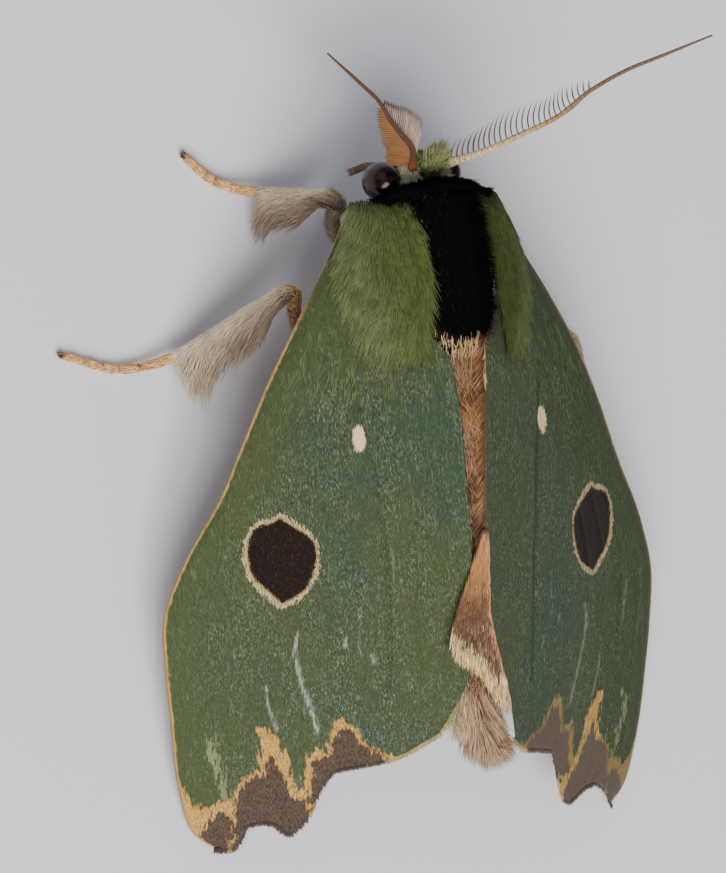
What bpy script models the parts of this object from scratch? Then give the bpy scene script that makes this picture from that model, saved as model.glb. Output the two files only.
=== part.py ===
"""A green moth at rest with its wings held like a roof, built as separate closed solids."""
import bpy
import bmesh
import numpy as np

# Lengths are in millimetres while the forms are made; the last step turns them to metres.
# The head looks toward -Y, the animal's own left is +X, the floor is z = 0.
METRES_PER_MM = 0.001
GAP = 0.3
CLEARANCE = 0.33

# Forewing: height of its upper face over the plan, thickness, raised veins.
RIDGE_HEIGHT = 7.95
RIDGE_MIDDLE_Y = 7.0
SAG_ALONG = 0.0118
ROOF_SLOPE = 0.44
ROOF_CURVE = 0.006
SHOULDER_DIP = 0.6
SHOULDER_Y = 1.0
SHOULDER_REACH = 4.0
WING_THICKNESS = 0.5
VEIN_HEIGHT = 0.12
VEIN_FADE = 0.3
FOREWING_ROWS = 18
FOREWING_LINES = 21
HINDWING_ROWS = 12
HINDWING_LINES = 10
TERMEN_POWER = 4.0
ROW_CROWDING = 1.2

COSTA = [(2.75, 1.45), (3.2, 2.0), (3.85, 3.05), (5.06, 4.92), (6.41, 7.19), (7.4, 9.25), (8.2, 11.1),
         (9.6, 13.67), (10.15, 15.3), (10.1, 17.1), (9.9, 18.9), (9.5, 21.5), (8.9, 23.1), (8.2, 23.65)]
INNER_MARGIN_ROOT = [(2.3, 2.8), (2.2, 4.0), (2.15, 5.5), (2.05, 6.6), (1.6, 7.55), (0.8, 8.2), (0.42, 11.1)]
INNER_MARGIN_LEFT = INNER_MARGIN_ROOT + [(0.32, 14.4), (0.35, 17.2), (0.4, 18.6), (0.8, 19.5)]
INNER_MARGIN_RIGHT = INNER_MARGIN_ROOT + [(0.3, 14.0), (0.35, 16.0), (1.1, 18.0), (1.85, 19.8), (2.15, 20.9)]
TERMEN_OUTER = [(8.2, 23.65), (7.65, 23.5), (7.35, 22.95), (6.5, 22.9), (6.1, 23.35), (5.75, 23.45),
                (5.35, 22.8), (5.05, 21.7), (4.6, 21.25), (3.0, 21.2)]
TERMEN_LEFT = TERMEN_OUTER + [(2.4, 21.3), (1.3, 20.7), (0.8, 19.5)]
TERMEN_RIGHT = TERMEN_OUTER + [(2.15, 20.9)]
COSTA_UNDERCUT = 0.24
UNDERCUT_SHARE = 0.45

HINDWING_COSTA = [(2.9, 4.9), (3.9, 6.2), (5.5, 8.5), (7.0, 11.0), (7.8, 13.0), (8.2, 16.5), (7.4, 18.5)]
HINDWING_INNER = [(2.4, 5.4), (2.3, 6.8), (2.2, 9.0), (2.15, 12.0), (2.15, 14.5), (2.2, 16.0), (2.4, 17.3)]

# Body stations: y, middle x, middle z, half width, rise above the middle, drop below it.
HEAD = [(-0.5, 0.0, 5.25, 0.35, 0.3, 0.3), (-0.35, 0.0, 5.25, 0.85, 0.72, 0.75),
        (-0.05, 0.0, 5.25, 1.23, 1.08, 1.1), (0.35, 0.0, 5.25, 1.48, 1.3, 1.3),
        (0.7, 0.0, 5.25, 1.52, 1.35, 1.35), (1.15, 0.0, 5.25, 1.45, 1.2, 1.2)]
THORAX = [(1.45, 0.0, 5.2, 1.9, 2.3, 1.7), (2.2, 0.0, 5.2, 2.1, 2.7, 2.4), (3.4, 0.0, 5.2, 2.2, 2.85, 2.9),
          (5.0, 0.0, 5.2, 2.2, 2.85, 3.15), (6.2, 0.0, 5.1, 2.0, 2.75, 3.0), (6.9, 0.0, 4.95, 1.8, 2.4, 2.5),
          (7.2, 0.0, 4.9, 1.6, 2.0, 2.1)]
ABDOMEN = [(7.5, 0.0, 4.75, 1.5, 1.85, 1.8), (8.5, 0.0, 4.75, 1.68, 2.15, 2.0),
           (10.5, 0.0, 4.7, 1.72, 2.15, 2.05), (13.0, 0.0, 4.65, 1.65, 1.9, 1.95),
           (15.5, -0.1, 4.6, 1.5, 1.55, 1.7), (17.5, -0.25, 4.6, 1.3, 1.15, 1.4),
           (18.8, -0.4, 4.65, 1.1, 0.85, 1.1), (19.5, -0.5, 4.7, 0.95, 0.7, 0.85)]
TAIL_TUFT = [(19.8, -0.52, 4.72, 0.95, 0.7, 0.8), (20.3, -0.6, 4.78, 1.08, 0.75, 0.85),
             (20.8, -0.68, 4.88, 0.9, 0.6, 0.7), (21.1, -0.75, 4.95, 0.45, 0.3, 0.3)]
HEAD_POWER = 1.0
THORAX_POWER = 2.6
ABDOMEN_POWER = 1.0

EYES = {"left": ((1.42, 0.42, 5.52), (0.7, 0.73, 0.85)), "right": ((-1.28, 0.47, 5.25), (0.62, 0.68, 0.8))}

COLLAR_FRONT_Y = 0.6
COLLAR_BACK_Y = 1.15
COLLAR_HALF_SPAN = 2.55
COLLAR_CREST = 7.84
COLLAR_FALL = 0.165
COLLAR_UNDERSIDE = 6.86
COLLAR_UNDER_FALL = 0.19

TEGULA_INNER = [(1.3, 1.45), (1.22, 3.0), (1.2, 4.5), (1.22, 6.0), (1.35, 7.2)]
TEGULA_OUTER = [(2.9, 1.45), (3.5, 2.5), (3.7, 3.5), (3.4, 5.2), (2.3, 7.2)]
TEGULA_EDGE = 0.5
TEGULA_SWELL = 0.15
TEGULA_LOCK_HEIGHTS = (0.2, 0.62, 0.72, 0.5)

ANTENNA_BASE_XY = (0.62, 0.2)
ANTENNA_LEFT = [(1.37, -0.52, 8.2), (2.59, -1.0, 9.2), (3.32, -1.43, 9.9), (4.47, -2.3, 11.0),
                (5.24, -2.74, 11.55), (7.36, -4.04, 12.85)]
ANTENNA_RIGHT = [(-1.73, -0.13, 7.5), (-2.96, -0.61, 8.25), (-4.07, -1.07, 8.85), (-5.2, -1.88, 9.45),
                 (-6.25, -2.4, 9.9), (-7.96, -2.94, 10.5), (-9.56, -3.43, 11.05)]
ANTENNA_STATIONS = 16
ANTENNA_RADIUS = 0.26
ANTENNA_TIP_RADIUS = 0.13
COMB_START = 0.04
COMB_END = 0.56
COMB_TEETH = 8
TOOTH_LENGTH = 0.95
TOOTH_RADIUS = 0.13
TOOTH_LEAN = 0.4
COMB_FACE = (0.24, -0.69, -0.68)
COMB_OPENING = 1.0

# Locks: flat tapered strands, given by half width and half depth at their broadest.
TEGULA_ROWS = 7
TEGULA_LINES = 7
TEGULA_LOCK_ROWS = 4
TEGULA_LOCK_LINES = 5
TEGULA_LOCK = (0.3, 0.13)
HEAD_LOCK = (0.2, 0.1)
TAIL_LOCK = (0.38, 0.15)
TAIL_LOCKS_ROUND = 6
LEG_LOCK = (0.24, 0.12)
COLLAR_LOCK = (0.2, 0.1)
TAIL_TIP = (-1.0, 22.25, 5.0)

PALP_START = (0.62, 0.15)
PALP_TIP = (1.4, -0.1, 3.2)

FEMUR_RADIUS = 0.38
ROOT_RADIUS = 0.28
KNEE_RADIUS = 0.33
TIBIA_RADIUS = 0.42
HEEL_RADIUS = 0.27
TARSUS_RADIUS = 0.25
CLAW_RADIUS = 0.14
LEG_SIDES = 8
LOOK_AHEAD = 0.15
RING_STEP = 0.44
BEND_REACH = 0.85

# Each leg: side, hip under the thorax (x, y), points between hip and knee, knee, heel, resting points.
LEGS = {
    "leg_fore_left": (1, (1.3, 3.2), [(1.75, 1.95, 1.85)], (1.78, 1.0, 3.3), (3.7, 0.54, 0.75),
                      [(5.3, 0.0, 0.24), (6.4, -1.09, 0.2)]),
    "leg_fore_right": (-1, (1.3, 3.2), [(1.75, 1.95, 1.85)], (1.9, 1.0, 3.25), (3.8, 1.0, 0.75),
                       [(4.7, 1.15, 0.24), (5.7, 1.3, 0.2)]),
    "leg_mid_left": (1, (1.5, 4.9), [(2.9, 5.7, 1.15), (3.6, 4.93, 2.0)], (4.35, 3.9, 3.6),
                     (7.84, 6.09, 0.7), [(9.96, 6.38, 0.24), (12.25, 5.57, 0.2)]),
    "leg_mid_right": (-1, (1.5, 4.9), [(2.9, 5.9, 1.1)], (7.5, 6.6, 3.0), (7.7, 9.3, 0.7),
                      [(7.9, 11.0, 0.24), (8.3, 12.6, 0.2)]),
    "leg_hind_left": (1, (1.3, 6.2), [(2.2, 7.0, 1.2)], (4.2, 9.5, 3.1), (4.6, 14.3, 0.75),
                      [(4.9, 16.0, 0.24), (5.5, 17.8, 0.2)]),
    "leg_hind_right": (-1, (1.3, 6.2), [(2.2, 7.0, 1.2)], (4.2, 9.5, 3.1), (4.6, 14.3, 0.75),
                       [(4.9, 16.0, 0.24), (5.5, 17.8, 0.2)]),
}

# Tufts on the shanks: locks, shortest and longest reach, how far they stand off backward.
LEG_TUFTS = {"leg_fore": (6, 1.2, 1.7, 0.75), "leg_mid": (7, 1.3, 2.3, 0.6), "leg_hind": (5, 0.9, 1.3, 0.4)}
LOCK_FLOOR = 0.3

GREEN = (72, 97, 72)
HIND_GREY = (150, 130, 105)
TEGULA_GREEN = (88, 126, 60)
BLACK = (14, 11, 9)
EYE_BLACK = (24, 15, 14)
HEAD_CREAM = (150, 158, 100)
ABDOMEN_BROWN = (150, 112, 78)
TUFT_TAN = (178, 152, 126)
COMB_BROWN = (150, 105, 65)
FEMUR_TAN = (190, 155, 115)
TIBIA_GREY = (170, 155, 130)
TARSUS_ORANGE = (218, 170, 98)


def spline(points, places, key=None):
    """Smooth curve through the points, sampled at shares of its length, or of column key if given."""
    p = np.asarray(points, float)
    if key is None:
        steps = np.linalg.norm(np.diff(p, axis=0), axis=1)
        u = np.concatenate([[0.0], np.cumsum(steps)])
    else:
        u = p[:, key]
    slope = np.gradient(p, u, axis=0)
    shares = np.linspace(0.0, 1.0, places) if np.isscalar(places) else np.asarray(places)
    w = u[0] + shares * (u[-1] - u[0])
    i = np.clip(np.searchsorted(u, w, side="right") - 1, 0, len(u) - 2)
    h = (u[i + 1] - u[i])[:, None]
    f = (w - u[i])[:, None] / h
    start = (1 + 2 * f) * (1 - f) ** 2
    end = f * f * (3 - 2 * f)
    lean = f * (1 - f) ** 2
    fall = f * f * (f - 1)
    return start * p[i] + end * p[i + 1] + h * (lean * slope[i] + fall * slope[i + 1])


def smooth(value, low, high):
    f = np.clip((np.asarray(value, float) - low) / (high - low), 0.0, 1.0)
    return f * f * (3 - 2 * f)


def unit(v):
    return v / np.linalg.norm(v)


THORAX_TABLE = spline(THORAX, 60, key=0)


def wing_top(x, y):
    """Upper face of the forewing: a roof falling from the midline, dipping toward the shoulder."""
    roof = RIDGE_HEIGHT - SAG_ALONG * (y - RIDGE_MIDDLE_Y) ** 2 - ROOF_SLOPE * x - ROOF_CURVE * x * x
    return roof - SHOULDER_DIP * np.exp(-((y - SHOULDER_Y) / SHOULDER_REACH) ** 2)


def thorax_top(x, y):
    """Height of the thorax's upper face over a point of the plan."""
    row = [np.interp(y, THORAX_TABLE[:, 0], THORAX_TABLE[:, c]) for c in (2, 3, 4)]
    share = np.clip(1.0 - (x / row[1]) ** 2, 0.0, 1.0)
    return row[0] + row[2] * share ** (THORAX_POWER / 2)


def thorax_below(x, y):
    """Point of the thorax's lower face over (x, y) and the direction straight out of it."""
    middle, half, drop = [float(np.interp(y, THORAX_TABLE[:, 0], THORAX_TABLE[:, c])) for c in (2, 3, 5)]
    z = middle - drop * np.sqrt(1.0 - (x / half) ** 2)
    normal = unit(np.array([x / half ** 2, 0.0, (z - middle) / drop ** 2]))
    return np.array([x, y, z]), normal


def finish(name, verts, faces, colour, rough):
    """One closed body from points and faces, turned outward, cut to triangles, with its own material."""
    mesh = bpy.data.meshes.new(name)
    mesh.from_pydata([tuple(v) for v in np.asarray(verts, float)], [], faces)
    body = bmesh.new()
    body.from_mesh(mesh)
    bmesh.ops.triangulate(body, faces=body.faces[:])
    bmesh.ops.recalc_face_normals(body, faces=body.faces[:])
    body.to_mesh(mesh)
    body.free()
    mesh.shade_smooth()
    mesh.set_sharp_from_angle(angle=np.radians(40.0))
    thing = bpy.data.objects.new(name, mesh)
    bpy.context.scene.collection.objects.link(thing)
    if colour is not None:
        share = np.array(colour) / 255.0
        linear = np.where(share <= 0.04045, share / 12.92, ((share + 0.055) / 1.055) ** 2.4)
        paint = bpy.data.materials.new(name + "_surface")
        paint.use_nodes = True
        shader = paint.node_tree.nodes["Principled BSDF"]
        shader.inputs["Base Color"].default_value = (*linear, 1.0)
        shader.inputs["Roughness"].default_value = rough
        mesh.materials.append(paint)
    return thing


def skin_rings(rings):
    """Points and faces of a closed body lofted through rings of equal count, flat at both ends."""
    n, m, _ = rings.shape
    faces = []
    for i in range(n - 1):
        for j in range(m):
            k = (j + 1) % m
            faces.append((i * m + j, i * m + k, (i + 1) * m + k, (i + 1) * m + j))
    faces.append(tuple(range(m))[::-1])
    faces.append(tuple(range((n - 1) * m, n * m)))
    return rings.reshape(-1, 3), faces


def body_rings(stations, count, sides, power):
    """Rings across the long axis: half ellipses above and below, the upper one raised to a power."""
    table = spline(stations, count, key=0)
    angle = (np.arange(sides) + 0.5) * 2 * np.pi / sides
    c = np.cos(angle)[None, :]
    s = np.sin(angle)[None, :]
    y, x0, z0, half, rise, drop = [table[:, k][:, None] for k in range(6)]
    upper = rise * np.abs(s) ** power
    lower = -drop * np.abs(s)
    rings = np.empty((count, sides, 3))
    rings[..., 0] = x0 + half * c
    rings[..., 1] = y + 0 * c
    rings[..., 2] = z0 + np.where(s > 0, upper, lower)
    return rings


def sheet(upper, lower):
    """Points and faces of a thin body between two grids of points, cut alike on both faces."""
    n, m, _ = upper.shape
    verts = np.concatenate([upper.reshape(-1, 3), lower.reshape(-1, 3)])
    below = n * m
    faces = []
    for i in range(n - 1):
        for j in range(m - 1):
            a = i * m + j
            b, c, d = a + 1, a + m + 1, a + m
            faces += [(a, b, c), (a, c, d)]
            faces += [(a + below, c + below, b + below), (a + below, d + below, c + below)]
    rim = [j for j in range(m)] + [i * m + m - 1 for i in range(1, n)]
    rim += [(n - 1) * m + j for j in range(m - 2, -1, -1)] + [i * m for i in range(n - 2, 0, -1)]
    for a, b in zip(rim, rim[1:] + rim[:1]):
        faces.append((a, a + below, b + below, b))
    return verts, faces


def ellipsoid(centre, axes, around, rings):
    """Points and faces of an ellipsoid with its poles along x."""
    verts = [(1.0, 0.0, 0.0)]
    for i in range(1, rings):
        a = np.pi * i / rings
        for j in range(around):
            b = 2 * np.pi * j / around
            verts.append((np.cos(a), np.sin(a) * np.cos(b), np.sin(a) * np.sin(b)))
    verts.append((-1.0, 0.0, 0.0))
    last = len(verts) - 1
    faces = []
    for j in range(around):
        k = (j + 1) % around
        faces.append((0, 1 + j, 1 + k))
        faces.append((last, last - around + k, last - around + j))
        for i in range(rings - 2):
            a = 1 + i * around
            faces.append((a + j, a + around + j, a + around + k, a + k))
    return np.array(verts) * np.array(axes) + np.array(centre), faces


def drop_object(thing):
    mesh = thing.data
    bpy.data.objects.remove(thing, do_unlink=True)
    bpy.data.meshes.remove(mesh)


def combine(base, others, operation):
    """One Boolean of the base with all the others at once; only the largest closed surface is kept."""
    group = bpy.data.collections.new("cutters")
    bpy.context.scene.collection.children.link(group)
    for other in others:
        bpy.context.scene.collection.objects.unlink(other)
        group.objects.link(other)
    step = base.modifiers.new("combine", "BOOLEAN")
    step.operation = operation
    step.operand_type = "COLLECTION"
    step.collection = group
    step.solver = "EXACT"
    graph = bpy.context.evaluated_depsgraph_get()
    result = bpy.data.meshes.new_from_object(base.evaluated_get(graph))
    old = base.data
    name = old.name
    base.modifiers.clear()
    base.data = result
    bpy.data.meshes.remove(old)
    result.name = name
    for other in others:
        drop_object(other)
    bpy.data.collections.remove(group)
    body = bmesh.new()
    body.from_mesh(result)
    bmesh.ops.triangulate(body, faces=body.faces[:])
    islands = []
    seen = set()
    for face in body.faces:
        if face in seen:
            continue
        stack = [face]
        seen.add(face)
        island = []
        while stack:
            item = stack.pop()
            island.append(item)
            for edge in item.edges:
                for near in edge.link_faces:
                    if near not in seen:
                        seen.add(near)
                        stack.append(near)
        islands.append(island)
    islands.sort(key=len)
    for island in islands[:-1]:
        bmesh.ops.delete(body, geom=island, context="FACES")
    loose = [v for v in body.verts if not v.link_faces]
    bmesh.ops.delete(body, geom=loose, context="VERTS")
    body.to_mesh(result)
    body.free()
    return base


def rounded_path(points, reach):
    """Straight runs with a rounded turn at each inner point; also the length at each turn's far end."""
    p = [np.asarray(q, float) for q in points]
    line = [p[0]]
    turns = []
    for a, b, c in zip(p[:-2], p[1:-1], p[2:]):
        r = min(reach, 0.48 * np.linalg.norm(b - a), 0.48 * np.linalg.norm(c - b))
        back, on = unit(a - b), unit(c - b)
        half = 0.5 * np.arccos(np.clip(np.dot(back, on), -1.0, 1.0))
        centre = b + unit(back + on) * r / np.cos(half)
        turn = np.pi - 2 * half
        first, last = b + r * back - centre, b + r * on - centre
        for f in np.linspace(0.0, 1.0, 9):
            line.append(centre + (np.sin((1 - f) * turn) * first + np.sin(f * turn) * last) / np.sin(turn))
        turns.append(len(line) - 1)
    line.append(p[-1])
    line = np.array(line)
    length = np.concatenate([[0.0], np.cumsum(np.linalg.norm(np.diff(line, axis=0), axis=1))])
    return line, length, [length[k] for k in turns]


def path_frames(line, side_hint, ahead=None):
    """Direction, side and up at each point, the side carried along without twist from the last point."""
    if ahead is None:
        ahead = np.gradient(line, axis=0)
    ahead /= np.linalg.norm(ahead, axis=1)[:, None]
    side = np.zeros_like(line)
    hold = np.cross(ahead[-1], side_hint)
    for i in range(len(line) - 1, -1, -1):
        hold = unit(hold - ahead[i] * np.dot(hold, ahead[i]))
        side[i] = hold
    return ahead, side, np.cross(side, ahead)


def tube_rings(line, side, up, radii, sides, flat=1.0):
    """Rings of a tube; flat squeezes it along its up direction."""
    angle = (np.arange(sides) + 0.5) * 2 * np.pi / sides
    c = np.cos(angle)[None, :, None]
    s = np.sin(angle)[None, :, None]
    r = np.asarray(radii, float)[:, None, None]
    return line[:, None, :] + r * (side[:, None, :] * c + flat * up[:, None, :] * s)


def mirror(points, side):
    result = np.array(points, float)
    result[..., 0] *= side
    return result


def lock(points, face, size):
    """Flat strand through the points, broad across face, tapered to its last point."""
    half, depth = size
    line = spline(points, 4)
    ahead = np.gradient(line, axis=0)
    ahead /= np.linalg.norm(ahead, axis=1)[:, None]
    across = np.cross(ahead, face)
    across /= np.linalg.norm(across, axis=1)[:, None]
    up = np.cross(across, ahead)
    share = np.array([0.75, 1.0, 0.7, 0.14])[:, None]
    corners = [half * share * across, depth * share * up, -half * share * across, -depth * share * up]
    rings = np.stack([line + c for c in corners], axis=1)
    return finish("lock", *skin_rings(rings), None, 0.9)


def forewing(name, side, inner_margin, termen):
    s = np.linspace(0, 1, FOREWING_ROWS)[:, None] ** ROW_CROWDING
    t = np.linspace(0, 1, FOREWING_LINES)[None, :]
    costa = spline(COSTA, s[:, 0])[:, None, :]
    inner = spline(inner_margin, s[:, 0])[:, None, :]
    plan = costa * (1 - t[..., None]) + inner * t[..., None]
    end = np.array(termen)
    start, stop = np.array(COSTA[-1]), np.array(inner_margin[-1])
    share = (start[0] - end[:, 0]) / (start[0] - stop[0])
    reach = end[:, 1] - (start[1] + share * (stop[1] - start[1]))
    x = plan[..., 0]
    y = plan[..., 1] + np.interp(t, share, reach) * s ** TERMEN_POWER
    z = wing_top(x, y)
    odd = (np.arange(FOREWING_LINES) % 2 == 1)[None, :]
    vein = VEIN_HEIGHT * odd * smooth(s, 0.0, VEIN_FADE)
    upper = np.stack([side * x, y, z + vein], axis=-1)
    line_step = x[:, 0] - x[:, 1]
    low_x = x.copy()
    low_x[:, 0] -= np.minimum(COSTA_UNDERCUT, UNDERCUT_SHARE * line_step)
    lower = np.stack([side * low_x, y, z - WING_THICKNESS], axis=-1)
    return finish(name, *sheet(upper, lower), GREEN, 0.85)


def hindwing(name, side):
    t = np.linspace(0, 1, HINDWING_LINES)[None, :, None]
    costa = spline(HINDWING_COSTA, HINDWING_ROWS)[:, None, :]
    inner = spline(HINDWING_INNER, HINDWING_ROWS)[:, None, :]
    plan = costa * (1 - t) + inner * t
    x, y = plan[..., 0], plan[..., 1]
    z = wing_top(x, y) - WING_THICKNESS - CLEARANCE
    upper = np.stack([side * x, y, z], axis=-1)
    lower = np.stack([side * x, y, z - WING_THICKNESS], axis=-1)
    return finish(name, *sheet(upper, lower), HIND_GREY, 0.85)


def tegula_under(x, y):
    """Lower face of the shoulder cover: a clearance above both the thorax and the wing."""
    blend = 7.0
    core = thorax_top(x, y)
    wing = wing_top(x, y)
    return np.log(np.exp(blend * core) + np.exp(blend * wing)) / blend + CLEARANCE


def tegula(name, side):
    rows, lines = TEGULA_ROWS, TEGULA_LINES
    t = np.linspace(0, 1, lines)[None, :]
    s = np.linspace(0, 1, rows)[:, None]
    inner = spline(TEGULA_INNER, rows)[:, None, :]
    outer = spline(TEGULA_OUTER, rows)[:, None, :]
    plan = inner * (1 - t[..., None]) + outer * t[..., None]
    x, y = plan[..., 0], plan[..., 1]
    z = tegula_under(x, y)
    swell = TEGULA_EDGE + TEGULA_SWELL * np.sin(np.pi * t) * np.sin(np.pi * np.clip(s * 0.8 + 0.1, 0, 1))
    upper = np.stack([side * x, y, z + swell], axis=-1)
    lower = np.stack([side * x, y, z], axis=-1)
    cover = finish(name, *sheet(upper, lower), TEGULA_GREEN, 0.9)
    locks = []
    for i, place in enumerate(np.linspace(0.06, 0.8, TEGULA_LOCK_ROWS)):
        for j in range(TEGULA_LOCK_LINES):
            across = (j + 0.35 + 0.3 * (i % 2)) / TEGULA_LOCK_LINES
            row, line = place * (rows - 1), across * (lines - 1)
            k = int(row)
            near = inner[k, 0] + (row - k) * (inner[k + 1, 0] - inner[k, 0])
            far = outer[k, 0] + (row - k) * (outer[k + 1, 0] - outer[k, 0])
            root = near + across * (far - near)
            fan = 0.4 * (across - 0.45) - 0.25 * smooth(place, 0.5, 0.8) * across
            reach = 1.95 - 0.25 * (j % 2)
            path = []
            for f, rise in zip((0.0, 0.35, 0.7, 1.0), TEGULA_LOCK_HEIGHTS):
                px = root[0] + fan * reach * f
                py = root[1] + reach * f
                path.append((side * px, py, float(tegula_under(px, py)) + rise))
            locks.append(lock(path, np.array([side * 0.3, 0.0, 1.0]), TEGULA_LOCK))
    return combine(cover, locks, "UNION")


def collar():
    """Arch over the back of the head, flat in front and behind, its ends pointed."""
    x = np.linspace(-COLLAR_HALF_SPAN, COLLAR_HALF_SPAN, 17)
    top = COLLAR_CREST - COLLAR_FALL * x ** 2
    low = COLLAR_UNDERSIDE - COLLAR_UNDER_FALL * np.abs(x)
    rings = np.empty((len(x), 4, 3))
    for k, (y, z) in enumerate([(COLLAR_FRONT_Y, low), (COLLAR_BACK_Y, low), (COLLAR_BACK_Y, top),
                                (COLLAR_FRONT_Y, top - 0.15)]):
        rings[:, k, 0] = x
        rings[:, k, 1] = y
        rings[:, k, 2] = z
    arch = finish("collar", *skin_rings(rings), BLACK, 0.9)
    locks = []
    middle_y = 0.5 * (COLLAR_FRONT_Y + COLLAR_BACK_Y)
    for side in (-1, 1):
        for reach, lean in ((0.1, 0.0), (0.3, 0.15), (0.05, 0.25)):
            foot = COLLAR_HALF_SPAN - 0.45
            height = COLLAR_CREST - COLLAR_FALL * foot ** 2 - 0.4 + lean
            path = [(side * foot, middle_y, height), (side * (foot + 0.3), middle_y, height - 0.1),
                    (side * (COLLAR_HALF_SPAN + reach), middle_y + 0.1 + lean, height + 0.5 * lean - 0.15)]
            locks.append(lock(path, np.array([0.0, 1.0, 0.0]), COLLAR_LOCK))
    return combine(arch, locks, "UNION")


def head_point(x, y, upper):
    """Point of the head's upper or lower face over (x, y) and the direction out of it."""
    table = spline(HEAD, 80, key=0)
    middle, half, rise, drop = [float(np.interp(y, table[:, 0], table[:, c])) for c in (2, 3, 4, 5)]
    tall = rise if upper else -drop
    z = middle + tall * np.sqrt(1 - (x / half) ** 2)
    normal = unit(np.array([x / half ** 2, -0.45 * (1 - (y + 0.4) / 1.3), (z - middle) / tall ** 2]))
    return np.array([x, y, z]), normal


def head_tuft(head):
    """Upright tuft between the feelers, fused to the brow."""
    locks = []
    for x in (-0.4, 0.0, 0.4):
        for y, tall, lean in ((0.1, 1.15, -0.55), (0.42, 1.3, -0.3)):
            foot, out = head_point(x, y, True)
            shift = 0.25 * x
            path = [foot - out * 0.2, foot + np.array([shift * 0.4, lean * 0.35, tall * 0.55]),
                    foot + np.array([shift, lean, tall - 0.3 * abs(x)])]
            locks.append(lock(path, np.array([0.0, 1.0, 0.2]), HEAD_LOCK))
    return combine(head, locks, "UNION")


def tail_tuft():
    """Short core behind the abdomen with locks running on to one blunt tip."""
    core = finish("tail_tuft", *skin_rings(body_rings(TAIL_TUFT, 7, 14, ABDOMEN_POWER)), TUFT_TAN, 0.9)
    tip = np.array(TAIL_TIP)
    locks = []
    for station, spread, back in ((20.15, 1.12, 1.05), (20.6, 0.9, 1.3)):
        table = spline(TAIL_TUFT, 40, key=0)
        x0, z0, half, rise, drop = [float(np.interp(station, table[:, 0], table[:, c])) for c in range(1, 6)]
        for k in range(TAIL_LOCKS_ROUND):
            angle = 2 * np.pi * (k + (0.5 if station > 20.4 else 0.0)) / TAIL_LOCKS_ROUND
            c, s = np.cos(angle), np.sin(angle)
            tall = rise if s > 0 else drop
            out = np.array([c, 0.0, s])
            foot = np.array([x0 + 0.7 * half * c, station - 0.1, z0 + 0.7 * tall * s])
            wide, high = 1.05 * half * spread * c, 1.05 * tall * spread * s
            middle = np.array([x0 - 0.1 + wide, station + 0.5, z0 + 0.1 + high])
            end = middle + np.array([0.0, back - 0.4, 0.0])
            end[0] += 0.55 * (tip[0] - end[0])
            end[2] += 0.5 * (tip[2] - end[2])
            end[1] += 0.3 * (1 - abs(c))
            locks.append(lock([foot, middle, end], out, TAIL_LOCK))
    return combine(core, locks, "UNION")


def antenna(name, side, points):
    """Bare shaft curving out of the brow to its tip, with two rows of comb teeth over its lower part."""
    foot, out = head_point(*ANTENNA_BASE_XY, True)
    foot = mirror(foot + out * (CLEARANCE + 0.05), side)
    f = np.linspace(0, 1, ANTENNA_STATIONS)[:, None]
    line = spline([foot] + points, f[:, 0])
    ahead, across, up = path_frames(line, np.array([0.0, 0.3, 1.0]))
    radii = ANTENNA_RADIUS + (ANTENNA_TIP_RADIUS - ANTENNA_RADIUS) * smooth(f[:, 0], 0.35, 1.0)
    shaft = finish(name, *skin_rings(tube_rings(line, across, up, radii, 6)), COMB_BROWN, 0.7)
    teeth = []
    for place in np.linspace(COMB_START + 0.02, COMB_END - 0.03, COMB_TEETH):
        spot = np.array([np.interp(place, f[:, 0], line[:, k]) for k in range(3)])
        along = unit(np.array([np.interp(place, f[:, 0], ahead[:, k]) for k in range(3)]))
        face = mirror(COMB_FACE, side)
        face = unit(face - along * np.dot(face, along))
        flank = np.cross(along, face)
        share = np.sin(np.pi * np.clip((place / COMB_END) * 0.72 + 0.24, 0.0, 1.0)) ** 0.8
        for turn in (-1, 1):
            out_way = face * np.cos(COMB_OPENING) + turn * flank * np.sin(COMB_OPENING)
            reach = TOOTH_LENGTH * share
            path = [spot + out_way * 0.08,
                    spot + (out_way + 0.3 * TOOTH_LEAN * along) * reach * 0.55,
                    spot + (out_way + TOOTH_LEAN * along) * reach]
            teeth.append(lock(path, along, (TOOTH_RADIUS, TOOTH_RADIUS)))
    return combine(shaft, teeth, "UNION")


def palp(name, side):
    foot, out = head_point(*PALP_START, False)
    foot = foot + out * CLEARANCE
    line, _, _ = rounded_path([foot, foot + out * 0.35, np.array(PALP_TIP)], 0.3)
    line = mirror(line, side)
    _, across, up = path_frames(line, np.array([0.0, 1.0, 0.3]))
    radii = np.linspace(0.27, 0.14, len(line))
    return finish(name, *skin_rings(tube_rings(line, across, up, radii, 8)), FEMUR_TAN, 0.9)


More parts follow.
